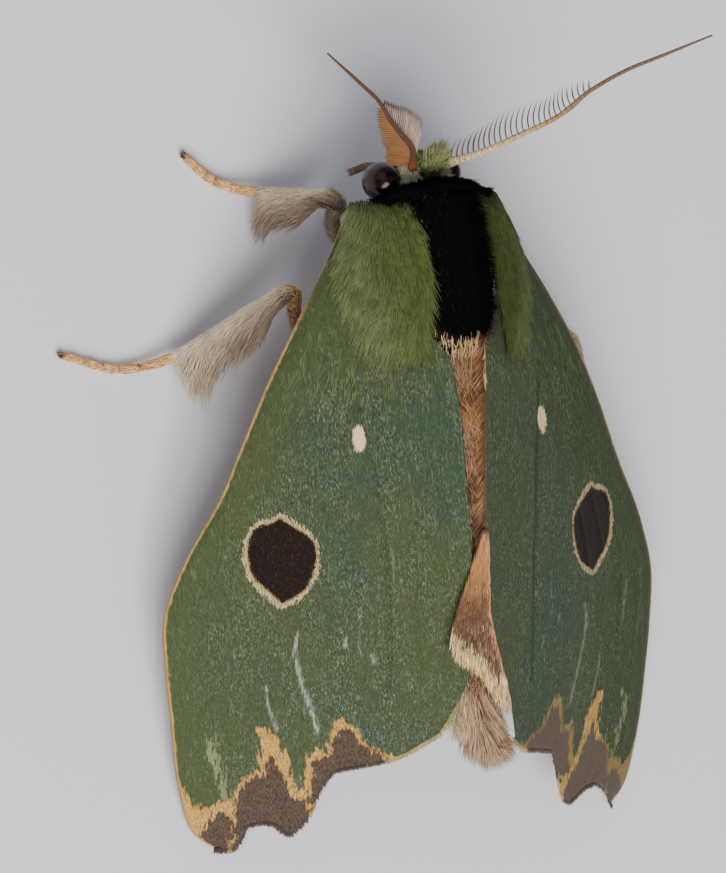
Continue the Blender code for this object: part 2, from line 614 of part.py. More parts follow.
def leg(name, side, hip, between, knee, heel, rest):
    """Femur, shank and foot along one rounded centreline, parted by a gap just past each turn."""
    foot, out = thorax_below(*hip)
    way = unit(np.array(between[0]) - foot)
    facing = np.dot(way, out)
    tilted = np.sqrt(1.0 - facing ** 2)
    root = foot + way * (CLEARANCE + ROOT_RADIUS * tilted) / facing
    points = [root] + between + [knee, heel] + rest
    line, length, turns = rounded_path(points, BEND_REACH)
    cuts = [turns[len(between)] + 0.1, turns[len(between) + 1] + 0.1]
    spans = [("femur", 0.0, cuts[0]), ("tibia", cuts[0] + GAP, cuts[1]),
             ("tarsus", cuts[1] + GAP, length[-1])]
    colours = {"femur": FEMUR_TAN, "tibia": TIBIA_GREY, "tarsus": TARSUS_ORANGE}
    profile = [(0.0, ROOT_RADIUS), (turns[0], ROOT_RADIUS), (0.5 * (turns[0] + cuts[0]), FEMUR_RADIUS),
               (cuts[0], KNEE_RADIUS), (cuts[0] + 1.2, TIBIA_RADIUS), (cuts[1] - 0.4, HEEL_RADIUS),
               (cuts[1] + 0.4, TARSUS_RADIUS), (length[-1] - 0.6, TARSUS_RADIUS), (length[-1], CLAW_RADIUS)]
    knots, widths = np.array(profile).T
    counts = [int(np.ceil((b - a) / RING_STEP)) + 1 for _, a, b in spans]
    stops = np.concatenate([np.linspace(a, b, n) for (_, a, b), n in zip(spans, counts)])
    before, dense, after = [np.stack([np.interp(stops + step, length, line[:, k]) for k in range(3)], axis=1)
                            for step in (-LOOK_AHEAD, 0.0, LOOK_AHEAD)]
    ahead, across, up = path_frames(dense, np.array([0.0, 0.0, 1.0]), after - before)
    rings = tube_rings(dense, across, up, np.interp(stops, knots, widths), LEG_SIDES)
    low = rings[..., 2].min(axis=1)
    settle = smooth(stops, cuts[1] + 1.0, cuts[1] + 1.6)
    rings[..., 2] -= (low * settle)[:, None]
    rings[..., 2] = np.maximum(rings[..., 2], 0.0)
    first = 0
    for (part, start, stop), count in zip(spans, counts):
        own = mirror(rings[first:first + count], side)
        first += count
        piece = finish(name + "_" + part, *skin_rings(own), colours[part], 0.85)
        if part == "tibia":
            leg_tuft(piece, name, side, dense, stops, start, stop)


def leg_tuft(piece, name, side, line, stops, start, stop):
    """Locks along the tail side of the shank, swept toward the foot and longest near its end."""
    count, shortest, longest, backward = LEG_TUFTS[name.rsplit("_", 1)[0]]
    locks = []
    for k in range(count):
        f = (k + 0.6) / count
        place = start + 0.25 + f * 0.8 * (stop - start - 0.5)
        foot = np.array([np.interp(place, stops, line[:, c]) for c in range(3)])
        ahead = unit(np.array([np.interp(place + 0.2, stops, line[:, c]) for c in range(3)]) - foot)
        back = np.array([0.0, 1.0, 0.0]) if abs(ahead[1]) < 0.8 else np.array([1.0, 0.0, 0.0])
        back = unit(back - ahead * np.dot(back, ahead) + np.array([0.0, 0.0, 0.12 * (-1) ** k]))
        reach = shortest + (longest - shortest) * np.sin(np.pi * min(f + 0.1, 1.0)) ** 0.7
        end = foot + reach * (0.75 * ahead + backward * back)
        middle = foot + reach * (0.35 * ahead + 0.62 * backward * back)
        end[2] = max(end[2], LOCK_FLOOR)
        middle[2] = max(middle[2], LOCK_FLOOR)
        path = mirror([foot + back * 0.1, middle, end], side)
        face = mirror(np.cross(ahead, back), side)
        locks.append(lock(path, face, LEG_LOCK))
    return combine(piece, locks, "UNION")


def build():
    for thing in list(bpy.data.objects):
        bpy.data.objects.remove(thing, do_unlink=True)
    head = finish("head", *skin_rings(body_rings(HEAD, 10, 20, HEAD_POWER)), HEAD_CREAM, 0.9)
    sockets = []
    for word, (centre, axes) in EYES.items():
        finish("eye_" + word, *ellipsoid(np.array(centre), axes, 14, 9), EYE_BLACK, 0.15)
        room = np.array(axes) + CLEARANCE
        sockets.append(finish("socket", *ellipsoid(centre, room, 14, 9), None, 0.5))
    combine(head, sockets, "DIFFERENCE")
    head_tuft(head)
    collar()
    finish("thorax", *skin_rings(body_rings(THORAX, 12, 20, THORAX_POWER)), BLACK, 0.9)
    finish("abdomen", *skin_rings(body_rings(ABDOMEN, 11, 16, ABDOMEN_POWER)), ABDOMEN_BROWN, 0.9)
    tail_tuft()
    forewing("forewing_left", 1, INNER_MARGIN_LEFT, TERMEN_LEFT)
    forewing("forewing_right", -1, INNER_MARGIN_RIGHT, TERMEN_RIGHT)
    antenna("antenna_left", 1, ANTENNA_LEFT)
    antenna("antenna_right", -1, ANTENNA_RIGHT)
    for side, word in ((1, "left"), (-1, "right")):
        hindwing("hindwing_" + word, side)
        tegula("tegula_" + word, side)
        palp("palp_" + word, side)
    for name, row in LEGS.items():
        leg(name, *row)
    settle_on_floor()


def settle_on_floor():
    """Turns millimetres to metres with the origin under the middle of the whole body's box."""
    things = [t for t in bpy.data.objects if t.type == "MESH"]
    points = np.concatenate([np.array([v.co[:] for v in t.data.vertices]) for t in things])
    low, high = points.min(axis=0), points.max(axis=0)
    shift = np.array([(low[0] + high[0]) / 2, (low[1] + high[1]) / 2, low[2]])
    for thing in things:
        for vertex in thing.data.vertices:
            vertex.co = (np.array(vertex.co[:]) - shift) * METRES_PER_MM
        thing.data.update()


build()
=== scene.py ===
# A green moth with dark eyespots, at rest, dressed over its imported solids.
# Lengths are millimetres along the body: y runs tailward, x to the animal's left, z up from the floor.
import bpy
import numpy as np
from mathutils import Matrix, Vector


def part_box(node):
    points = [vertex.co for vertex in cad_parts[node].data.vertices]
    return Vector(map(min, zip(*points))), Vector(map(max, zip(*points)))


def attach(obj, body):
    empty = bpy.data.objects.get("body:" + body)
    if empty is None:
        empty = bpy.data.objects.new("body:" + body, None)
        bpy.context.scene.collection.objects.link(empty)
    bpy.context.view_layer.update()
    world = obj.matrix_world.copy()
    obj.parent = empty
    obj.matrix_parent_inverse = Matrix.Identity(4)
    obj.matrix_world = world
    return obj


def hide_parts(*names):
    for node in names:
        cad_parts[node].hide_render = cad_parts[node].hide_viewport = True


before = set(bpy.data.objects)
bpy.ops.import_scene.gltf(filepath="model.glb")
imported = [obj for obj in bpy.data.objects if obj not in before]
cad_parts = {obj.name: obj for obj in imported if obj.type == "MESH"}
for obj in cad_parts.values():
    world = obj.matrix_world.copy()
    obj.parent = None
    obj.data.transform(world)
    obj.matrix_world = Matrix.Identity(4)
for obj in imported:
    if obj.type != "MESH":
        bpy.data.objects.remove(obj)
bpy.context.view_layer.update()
thoraxLow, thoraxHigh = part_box("thorax")
thoraxFront = 1.45
bodyShift = np.array([500 * (thoraxLow.x + thoraxHigh.x), 1000 * thoraxLow.y - thoraxFront, 0.0])
random = np.random.default_rng(31)
bothSides = ((1, "left"), (-1, "right"))


# shared shape functions

def normalise(v):  # v / |v|
    return v / np.maximum(np.linalg.norm(v, axis=-1, keepdims=True), 1e-12)


def smoothStep(value, low, high):  # 3f^2 - 2f^3 of the share f between low and high
    f = np.clip((np.asarray(value, float) - low) / (high - low), 0.0, 1.0)
    return f * f * (3 - 2 * f)


def splineThrough(points, places, key=None):
    # cubic Hermite curve: (1+2f)(1-f)^2 p0 + f^2(3-2f) p1 + h (f(1-f)^2 m0 + f^2(f-1) m1)
    p = np.asarray(points, float)
    if key is None:
        u = np.concatenate([[0.0], np.cumsum(np.linalg.norm(np.diff(p, axis=0), axis=1))])
    else:
        u = p[:, key]
    slope = np.gradient(p, u, axis=0)
    shares = np.linspace(0.0, 1.0, places) if np.isscalar(places) else np.asarray(places, float)
    w = np.clip(u[0] + shares * (u[-1] - u[0]) if key is None else shares, u[0], u[-1])
    i = np.clip(np.searchsorted(u, w, side="right") - 1, 0, len(u) - 2)
    h = (u[i + 1] - u[i])[..., None]
    f = (w - u[i])[..., None] / h
    start, end = (1 + 2 * f) * (1 - f) ** 2, f * f * (3 - 2 * f)
    return start * p[i] + end * p[i + 1] + h * (f * (1 - f) ** 2 * slope[i] + f * f * (f - 1) * slope[i + 1])


def outlineGap(points, outline):
    # distance from plan points to a closed outline, positive inside: min over segments of |p - nearest|
    p = np.asarray(points, float)
    a = np.asarray(outline, float)
    b = np.roll(a, -1, axis=0)
    nearest = np.full(len(p), 1e9)
    inside = np.zeros(len(p), bool)
    for start, stop in zip(a, b):
        run = stop - start
        f = np.clip(((p - start) @ run) / max(run @ run, 1e-12), 0.0, 1.0)
        nearest = np.minimum(nearest, np.linalg.norm(p - start - f[:, None] * run, axis=1))
        crosses = (start[1] > p[:, 1]) != (stop[1] > p[:, 1])
        rise = run[1] if abs(run[1]) > 1e-12 else 1e-12
        inside ^= crosses & (p[:, 0] < start[0] + (p[:, 1] - start[1]) * run[0] / rise)
    return np.where(inside, nearest, -nearest)


def lineGap(points, line):  # distance from plan points to an open line
    p = np.asarray(points, float)
    q = np.asarray(line, float)
    nearest = np.full(len(p), 1e9)
    for start, stop in zip(q[:-1], q[1:]):
        run = stop - start
        f = np.clip(((p - start) @ run) / (run @ run), 0.0, 1.0)
        nearest = np.minimum(nearest, np.linalg.norm(p - start - f[:, None] * run, axis=1))
    return nearest


def acrossAt(y, line):  # x of a plan line at each y
    return np.interp(y, [p[1] for p in line], [p[0] for p in line])


def alongPath(places, stops, path):  # the path's x, y and z at each place between its stops
    return np.stack([np.interp(places, stops, path[:, k]) for k in range(3)], axis=1)


def turnOut(normals, points, middle):  # normals flipped where they point at the middle line
    return normals * np.sign(np.sum(normals * (points - middle), axis=1))[:, None]


def ringsAbout(line, across, up, radius, sides):  # line + radius (across cos + up sin)
    angle = 2 * np.pi * np.arange(sides) / sides
    around = across[:, None] * np.cos(angle)[None, :, None] + up[:, None] * np.sin(angle)[None, :, None]
    return line[:, None] + radius[:, None, None] * around


def pathFrames(line, hint):
    # ahead is the path's slope, side is ahead x hint made square, up = side x ahead
    ahead = normalise(np.gradient(line, axis=-2))
    side = normalise(np.cross(ahead, hint))
    return ahead, side, np.cross(side, ahead)


def roundedPath(points, reach):  # straight runs joined by circular turns
    p = [np.asarray(q, float) for q in points]
    line = [p[0]]
    turns = []
    for a, b, c in zip(p[:-2], p[1:-1], p[2:]):
        r = min(reach, 0.48 * np.linalg.norm(b - a), 0.48 * np.linalg.norm(c - b))
        back, on = normalise(a - b), normalise(c - b)
        half = 0.5 * np.arccos(np.clip(back @ on, -1.0, 1.0))
        centre = b + normalise(back + on) * r / np.cos(half)
        turn = np.pi - 2 * half
        f = np.linspace(0.0, 1.0, 9)[:, None]
        first, last = b + r * back - centre, b + r * on - centre
        line.extend(centre + (np.sin((1 - f) * turn) * first + np.sin(f * turn) * last) / np.sin(turn))
        turns.append(len(line) - 1)
    line = np.array(line + [p[-1]])
    length = np.concatenate([[0.0], np.cumsum(np.linalg.norm(np.diff(line, axis=0), axis=1))])
    return line, length, [length[k] for k in turns]


# meshes

def gridQuads(rows, columns, closed=False):
    i = np.arange(rows - 1)[:, None] * columns
    j = np.arange(columns if closed else columns - 1)[None, :]
    k = (j + 1) % columns
    return np.stack([i + j, i + k, i + columns + k, i + columns + j], axis=-1).reshape(-1, 4)


def signedVolume(points, quads, triangles):  # sum of a . (b x c) / 6 over the triangles
    t = np.concatenate([quads[:, [0, 1, 2]], quads[:, [0, 2, 3]], triangles])
    a, b, c = points[t[:, 0]], points[t[:, 1]], points[t[:, 2]]
    return float(np.sum(a * np.cross(b, c))) / 6


def makePiece(name, points, quads, triangles, finish, slot, replaced=(), values=None, unwrap=None):
    points = np.asarray(points, float).reshape(-1, 3)
    quads = np.asarray(quads, np.int64).reshape(-1, 4)
    triangles = np.asarray(triangles, np.int64).reshape(-1, 3)
    if signedVolume(points - points.mean(axis=0), quads, triangles) < 0:
        quads, triangles = quads[:, ::-1], triangles[:, ::-1]
    corners = np.concatenate([quads.ravel(), triangles.ravel()]).astype(np.int32)
    sizes = np.concatenate([np.full(len(quads), 4), np.full(len(triangles), 3)])
    mesh = bpy.data.meshes.new(name)
    mesh.vertices.add(len(points))
    mesh.vertices.foreach_set("co", ((points + bodyShift) * 0.001).astype(np.float32).ravel())
    mesh.loops.add(len(corners))
    mesh.loops.foreach_set("vertex_index", corners)
    mesh.polygons.add(len(sizes))
    mesh.polygons.foreach_set("loop_start", np.concatenate([[0], np.cumsum(sizes)[:-1]]).astype(np.int32))
    mesh.polygons.foreach_set("use_smooth", np.ones(len(sizes), bool))
    mesh.update(calc_edges=True)
    for word, numbers in (values or {}).items():
        layer = mesh.attributes.new(word, "FLOAT", "POINT")
        layer.data.foreach_set("value", np.asarray(numbers, np.float32).ravel())
    if unwrap is not None:
        layer = mesh.uv_layers.new(name="OFBake")
        layer.data.foreach_set("uv", np.asarray(unwrap, np.float32)[corners].ravel())
    piece = bpy.data.objects.new(name, mesh)
    bpy.context.scene.collection.objects.link(piece)
    mesh.materials.append(finish)
    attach(piece, "root")
    if replaced:
        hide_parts(*replaced)
    return piece


def tubeMesh(rings):  # rings (rows, sides, 3) joined in a closed skin with a pole at each end
    rows, sides = rings.shape[:2]
    points = np.concatenate([rings.reshape(-1, 3), rings[:1].mean(axis=1), rings[-1:].mean(axis=1)])
    j = np.arange(sides)
    k = (j + 1) % sides
    last = (rows - 1) * sides
    pole = np.full(sides, rows * sides)
    firstCap = np.stack([k, j, pole], axis=1)
    lastCap = np.stack([last + j, last + k, pole + 1], axis=1)
    return points, gridQuads(rows, sides, True), np.concatenate([firstCap, lastCap])


def sheetMesh(upper, lower):  # two faces of a thin sheet joined round their border
    rows, lines = upper.shape[:2]
    ring = np.concatenate([upper, lower[:, ::-1]], axis=1)
    sides = 2 * lines
    j = np.arange(lines - 1)
    cap = np.stack([j, sides - 1 - j, sides - 2 - j, j + 1], axis=1)
    end = cap[:, ::-1] + (rows - 1) * sides
    quads = np.concatenate([gridQuads(rows, sides, True), cap, end])
    return ring.reshape(-1, 3), quads, np.empty((0, 3), int)


def strandMesh(path, normals, width, thin, slender):
    # three-sided hair about each path: half width w(f) = width (1 - f^slender) (0.6 + 0.4 sin(pi f))
    count, steps = path.shape[:2]
    ahead = normalise(np.gradient(path, axis=1))
    across = normalise(np.cross(ahead, normals[:, None, :]))
    up = np.cross(across, ahead)
    f = np.linspace(0.0, 1.0, steps)[None, :-1, None]
    half = 0.5 * np.asarray(width).reshape(-1, 1, 1) * (1 - f ** slender) * (0.6 + 0.4 * np.sin(np.pi * f))
    middle, across, up = path[:, :-1], across[:, :-1], up[:, :-1]
    ring = np.stack([middle + half * across, middle + 2 * thin * half * up, middle - half * across], axis=2)
    rings = steps - 1
    each = rings * 3 + 1
    points = np.concatenate([ring.reshape(count, -1, 3), path[:, -1:]], axis=1)
    base = (np.arange(count) * each)[:, None, None]
    quads = (gridQuads(rings, 3, True)[None] + base).reshape(-1, 4)
    last = (rings - 1) * 3
    ends = np.array([[2, 1, 0], [last, last + 1, each - 1], [last + 1, last + 2, each - 1],
                     [last + 2, last, each - 1]])
    along = np.concatenate([np.repeat(np.linspace(0, 1, steps)[:-1], 3), [1.0]])
    sideways = np.concatenate([np.tile([0.5, 0.0, -0.5], rings), [0.0]])
    return points.reshape(-1, 3), quads, (ends[None] + base).reshape(-1, 3), each, along, sideways


hairPatch = 0.003  # each hair's share of the unwrap, across


def makeCoat(name, path, normals, width, finish, slot, zone, place, replaced=(), thin=0.35, slender=2.2):
    # place is each root's spot on the unwrap of the skin that carries it
    points, quads, triangles, each, along, sideways = strandMesh(path, normals, width, thin, slender)
    count = len(path)
    values = {"along": np.tile(along, count), "shade": np.repeat(random.random(count), each),
              "zone": np.repeat(np.clip(zone, 0, 1), each)}
    patch = np.stack([sideways, along - 0.5], axis=1) * hairPatch
    unwrap = (np.clip(place, 0.01, 0.99)[:, None, :] + patch[None]).reshape(-1, 2)
    piece = makePiece(name, points, quads, triangles, finish, slot, replaced, values, unwrap)
    print("coat", name, count, "hairs", len(quads) * 2 + len(triangles), "triangles")
    return piece


def layHair(roots, normals, lies, length, lift, droop, steps=4, spread=0.15, curl=0.15, sink=0.12):
    # root + length (f cos(lift) lie + (f sin(lift) - droop f^2) normal + curl f^2 side)
    count = len(roots)
    normals = normalise(normals)
    lies = normalise(lies - np.sum(lies * normals, axis=1, keepdims=True) * normals)
    side = np.cross(normals, lies)
    turn = random.normal(0.0, spread, count)[:, None]
    lies = lies * np.cos(turn) + side * np.sin(turn)
    side = np.cross(normals, lies)
    lift = np.broadcast_to(lift, count)[:, None, None] * random.uniform(0.7, 1.3, count)[:, None, None]
    droop = np.broadcast_to(droop, count)[:, None, None]
    f = np.linspace(0.0, 1.0, steps)[None, :, None]
    bend = random.normal(0.0, curl, count)[:, None, None]
    reach = np.broadcast_to(length, count)[:, None, None]
    path = (f * np.cos(lift)) * lies[:, None] + (f * np.sin(lift) - droop * f ** 2) * normals[:, None]
    path = roots[:, None] + reach * (path + bend * f ** 2 * side[:, None]) - sink * normals[:, None]
    return path


def frameOn(shape, u, v, step=1e-3):
    # point, slopes along u and v, and the unit normal du x dv of a surface
    du = shape(u + step, v) - shape(u - step, v)
    dv = shape(u, v + step) - shape(u, v - step)
    return shape(u, v), normalise(du), normalise(dv), normalise(np.cross(du, dv))


# materials

def screenColour(rgb):  # sRGB 0-255 to linear
    c = np.array(rgb, float) / 255
    return (*np.where(c <= 0.04045, c / 12.92, ((c + 0.055) / 1.055) ** 2.4), 1.0)


class Finish:
    # one material with short calls for its nodes; a number or socket goes into any input
    def __init__(self, name, roughness, **constants):
        self.material = bpy.data.materials.new(name)
        self.material.use_nodes = True
        self.tree = self.material.node_tree
        self.shader = self.tree.nodes["Principled BSDF"]
        self.shader.inputs["Roughness"].default_value = roughness
        for word, value in constants.items():
            self.shader.inputs[word.replace("_", " ")].default_value = value
        self.place = self.tree.nodes.new("ShaderNodeTexCoord").outputs["Object"]

    def put(self, socket, source):
        if isinstance(source, bpy.types.NodeSocket):
            self.tree.links.new(source, socket)
        else:
            socket.default_value = source

    def value(self, word):
        node = self.tree.nodes.new("ShaderNodeAttribute")
        node.attribute_name = word
        return node.outputs["Fac"]

    def noise(self, perMillimetre, stretch=(1.0, 1.0, 1.0), detail=3.0, rough=0.55, shift=0.0):
        mapping = self.tree.nodes.new("ShaderNodeMapping")
        self.put(mapping.inputs["Vector"], self.place)
        mapping.inputs["Scale"].default_value = [1000 * perMillimetre * s for s in stretch]
        mapping.inputs["Location"].default_value = (shift, shift, shift)
        node = self.tree.nodes.new("ShaderNodeTexNoise")
        self.put(node.inputs["Vector"], mapping.outputs["Vector"])
        node.inputs["Scale"].default_value = 1.0
        node.inputs["Detail"].default_value = detail
        node.inputs["Roughness"].default_value = rough
        return node.outputs["Fac"]

    def cells(self, perMillimetre):
        mapping = self.tree.nodes.new("ShaderNodeMapping")
        self.put(mapping.inputs["Vector"], self.place)
        mapping.inputs["Scale"].default_value = [1000 * perMillimetre] * 3
        node = self.tree.nodes.new("ShaderNodeTexVoronoi")
        self.put(node.inputs["Vector"], mapping.outputs["Vector"])
        node.inputs["Scale"].default_value = 1.0
        return node.outputs["Distance"]

    def sum(self, operation, a, b=0.0):
        node = self.tree.nodes.new("ShaderNodeMath")
        node.operation = operation
        self.put(node.inputs[0], a)
        self.put(node.inputs[1], b)
        return node.outputs[0]

    def between(self, value, low, high, start=0.0, end=1.0):
        node = self.tree.nodes.new("ShaderNodeMapRange")
        node.interpolation_type = "SMOOTHSTEP"
        for word, number in zip(("Value", "From Min", "From Max", "To Min", "To Max"),
                                (value, low, high, start, end)):
            self.put(node.inputs[word], number)
        return node.outputs["Result"]

    def mix(self, share, a, b, blend="MIX"):
        node = self.tree.nodes.new("ShaderNodeMix")
        node.data_type = "RGBA"
        node.blend_type = blend
        self.put(node.inputs[0], share)
        self.put(node.inputs[6], a)
        self.put(node.inputs[7], b)
        return node.outputs[2]

    def twoTone(self, grain, low, high, dark, light):  # dark to light as the grain goes from low to high
        self.colour(self.mix(self.between(grain, low, high), screenColour(dark), screenColour(light)))

    def grey(self, value):
        node = self.tree.nodes.new("ShaderNodeCombineColor")
        for k in range(3):
            self.put(node.inputs[k], value)
        return node.outputs[0]

    def ramp(self, value, stops):
        node = self.tree.nodes.new("ShaderNodeValToRGB")
        elements = node.color_ramp.elements
        while len(elements) < len(stops):
            elements.new(0.5)
        for element, (position, rgb) in zip(elements, stops):
            element.position = position
            element.color = screenColour(rgb)
        self.put(node.inputs["Fac"], value)
        return node.outputs["Color"]

    def colour(self, source):
        self.put(self.shader.inputs["Base Color"], source)

    def bump(self, height, millimetres, strength=1.0):
        node = self.tree.nodes.new("ShaderNodeBump")
        node.inputs["Distance"].default_value = millimetres * 0.001
        node.inputs["Strength"].default_value = strength
        self.put(node.inputs["Height"], height)
        self.put(self.shader.inputs["Normal"], node.outputs["Normal"])


def coatFinish(name, stops, rootShade=0.45, tips=None, tipShare=0.35, spread=0.18, roughness=0.7, sheen=0.15,
               vary=0.26):
    # hair: ramp over its zone, darker at the root, each hair a little lighter or darker
    f = Finish(name, roughness, Sheen_Weight=sheen, Specular_IOR_Level=0.3)
    shade, along = f.value("shade"), f.value("along")
    zone = f.sum("ADD", f.value("zone"), f.sum("MULTIPLY", f.sum("SUBTRACT", shade, 0.5), spread))
    patchy = f.between(f.noise(1.6, detail=4), 0.3, 0.7, 0.82, 1.15)
    colour = f.ramp(zone, stops)
    if tips is not None:
        share = f.sum("MULTIPLY", f.between(along, 0.55, 1.0), tipShare)
        colour = f.mix(f.sum("MULTIPLY", share, f.between(shade, 0.2, 0.9)), colour, screenColour(tips))
    lighter = f.between(shade, 0.0, 1.0, 1 - vary, 1 + vary)
    dim = f.sum("MULTIPLY", f.between(along, 0.0, 0.6, rootShade, 1.0), lighter)
    colour = f.mix(1.0, colour, f.grey(f.sum("MULTIPLY", dim, patchy)), "MULTIPLY")
    f.colour(colour)
    return f.material


# the frame's own shapes

roof = {"ridge": 7.95, "middle": 7.0, "sag": 0.0118, "slope": 0.44, "curve": 0.006,
        "dip": 0.6, "shoulder": 1.0, "reach": 4.0}


def wingTop(x, y):  # ridge - sag (y - middle)^2 - slope |x| - curve x^2 - dip exp(-((y - shoulder)/reach)^2)
    x = np.abs(x)
    fall = roof["sag"] * (y - roof["middle"]) ** 2 + roof["slope"] * x + roof["curve"] * x * x
    return roof["ridge"] - fall - roof["dip"] * np.exp(-((y - roof["shoulder"]) / roof["reach"]) ** 2)


# y, centre x, centre z, half width, rise, drop, power of the upper side
bodyStations = [
    (-0.5, 0.0, 5.25, 0.35, 0.3, 0.3, 1.0), (-0.35, 0.0, 5.25, 0.85, 0.72, 0.75, 1.0),
    (-0.05, 0.0, 5.25, 1.23, 1.08, 1.1, 1.0), (0.35, 0.0, 5.25, 1.48, 1.3, 1.3, 1.0),
    (0.7, 0.0, 5.25, 1.52, 1.45, 1.35, 1.0), (0.95, 0.0, 5.25, 1.7, 2.1, 1.5, 1.0),
    (1.2, 0.0, 5.25, 1.9, 2.5, 1.65, 1.1), (1.45, 0.0, 5.2, 2.05, 2.68, 1.8, 1.3),
    (2.2, 0.0, 5.2, 2.2, 2.85, 2.4, 1.4), (3.4, 0.0, 5.2, 2.3, 2.95, 2.9, 1.4),
    (5.0, 0.0, 5.2, 2.3, 2.95, 3.15, 1.4), (6.2, 0.0, 5.1, 2.1, 2.85, 3.0, 1.4),
    (6.9, 0.0, 4.95, 1.9, 2.75, 2.5, 1.3), (7.5, 0.0, 4.8, 1.75, 2.6, 2.0, 1.2),
    (8.5, 0.0, 4.75, 1.75, 2.55, 2.0, 1.0), (10.5, 0.0, 4.7, 1.75, 2.5, 2.05, 1.0),
    (13.0, 0.0, 4.65, 1.65, 2.2, 1.95, 1.0), (15.5, -0.1, 4.6, 1.5, 1.7, 1.7, 1.0),
    (17.5, -0.25, 4.6, 1.3, 1.2, 1.4, 1.0),
    (18.8, -0.4, 4.65, 1.1, 0.85, 1.1, 1.0), (19.8, -0.52, 4.72, 0.95, 0.7, 0.8, 1.0),
    (20.3, -0.6, 4.78, 0.95, 0.68, 0.8, 1.0), (20.8, -0.68, 4.88, 0.7, 0.5, 0.55, 1.0),
    (21.1, -0.75, 4.95, 0.35, 0.25, 0.25, 1.0)]
bodyLength = (-0.5, 21.1)
skinDepth = 0.28


def bodySurface(u, v, inset=0.0):
    # u runs head to tail, v round from the animal's left: (x0 + half cos, z0 + rise |sin|^power or drop sin)
    y = bodyLength[0] + np.clip(u, 0, 1) * (bodyLength[1] - bodyLength[0])
    row = splineThrough(bodyStations, y, key=0)
    angle = 2 * np.pi * v
    c, s = np.cos(angle), np.sin(angle)
    half = np.maximum(row[..., 3] - inset, 0.05)
    rise = np.maximum(row[..., 4] - inset, 0.05)
    drop = np.maximum(row[..., 5] - inset, 0.05)
    tall = np.where(s > 0, rise * np.abs(s) ** row[..., 6], -drop * np.abs(s))
    return np.stack([row[..., 1] + half * c, y, row[..., 2] + tall], axis=-1)


thoraxRows = [(1.45, 0.0, 5.2, 1.9, 2.3, 1.7, 2.6), (2.2, 0.0, 5.2, 2.1, 2.7, 2.4, 2.6),
              (3.4, 0.0, 5.2, 2.2, 2.85, 2.9, 2.6), (5.0, 0.0, 5.2, 2.2, 2.85, 3.15, 2.6),
              (6.2, 0.0, 5.1, 2.0, 2.75, 3.0, 2.6), (6.9, 0.0, 4.95, 1.8, 2.4, 2.5, 2.6)]


def thoraxTop(x, y):  # z0 + rise (1 - (x/half)^2)^(power/2) over a point of the plan
    row = splineThrough(thoraxRows, np.clip(y, 1.45, 6.9), key=0)
    share = np.clip(1.0 - (x / row[..., 3]) ** 2, 0.0, 1.0)
    return row[..., 2] + row[..., 4] * share ** (row[..., 6] / 2)


def shoulderGround(x, y):  # soft maximum of the thorax and the wing: log(e^(7a) + e^(7b)) / 7
    x = np.abs(x)
    return np.log(np.exp(7 * thoraxTop(x, y)) + np.exp(7 * wingTop(x, y))) / 7


plasticSteps = (0.7548776662, 0.5698402910)  # 1/p and 1/p^2 of the plastic number p


def scatter(count):  # even but irregular spots: (k step + start) modulo 1, then moved a little at random
    k = np.arange(count)
    spots = np.stack([(k * step + random.random()) % 1.0 for step in plasticSteps], axis=1)
    return np.clip(spots + random.normal(0, 0.25 / np.sqrt(count), spots.shape), 0, 1)


print("stage: shapes ready")

# body skin

skinFinish = Finish("bodySkin", 0.8, Specular_IOR_Level=0.2)
grain = skinFinish.noise(6.0, detail=5)
lengthwise = skinFinish.tree.nodes.new("ShaderNodeSeparateXYZ")
skinFinish.put(lengthwise.inputs[0], skinFinish.place)
tailward = lengthwise.outputs["Y"]
onThorax = skinFinish.between(tailward, (1.0 + bodyShift[1]) * 0.001, (1.6 + bodyShift[1]) * 0.001)
overAbdomen = skinFinish.between(tailward, (7.0 + bodyShift[1]) * 0.001, (7.8 + bodyShift[1]) * 0.001)
tone = skinFinish.mix(onThorax, screenColour((70, 62, 40)), screenColour((14, 10, 8)))
tone = skinFinish.mix(overAbdomen, tone, screenColour((84, 56, 38)))
tone = skinFinish.mix(1.0, tone, skinFinish.grey(skinFinish.between(grain, 0.2, 0.8, 0.7, 1.2)), "MULTIPLY")
skinFinish.colour(tone)
skinFinish.bump(grain, 0.05)

skinGrid = {"rows": 150, "sides": 64}
u, v = np.meshgrid(np.linspace(0, 1, skinGrid["rows"]), np.arange(skinGrid["sides"]) / skinGrid["sides"],
                   indexing="ij")
makePiece("bodySkin", *tubeMesh(bodySurface(u, v, skinDepth)), skinFinish.material, "black_fur",
          ("head", "thorax", "abdomen", "tail_tuft"))
print("stage: body skin")


def skinShape(u, v):  # the body's skin, inside the solids by the coat's depth
    return bodySurface(u, v, skinDepth)


def anyZone(p):
    return random.random(len(p))


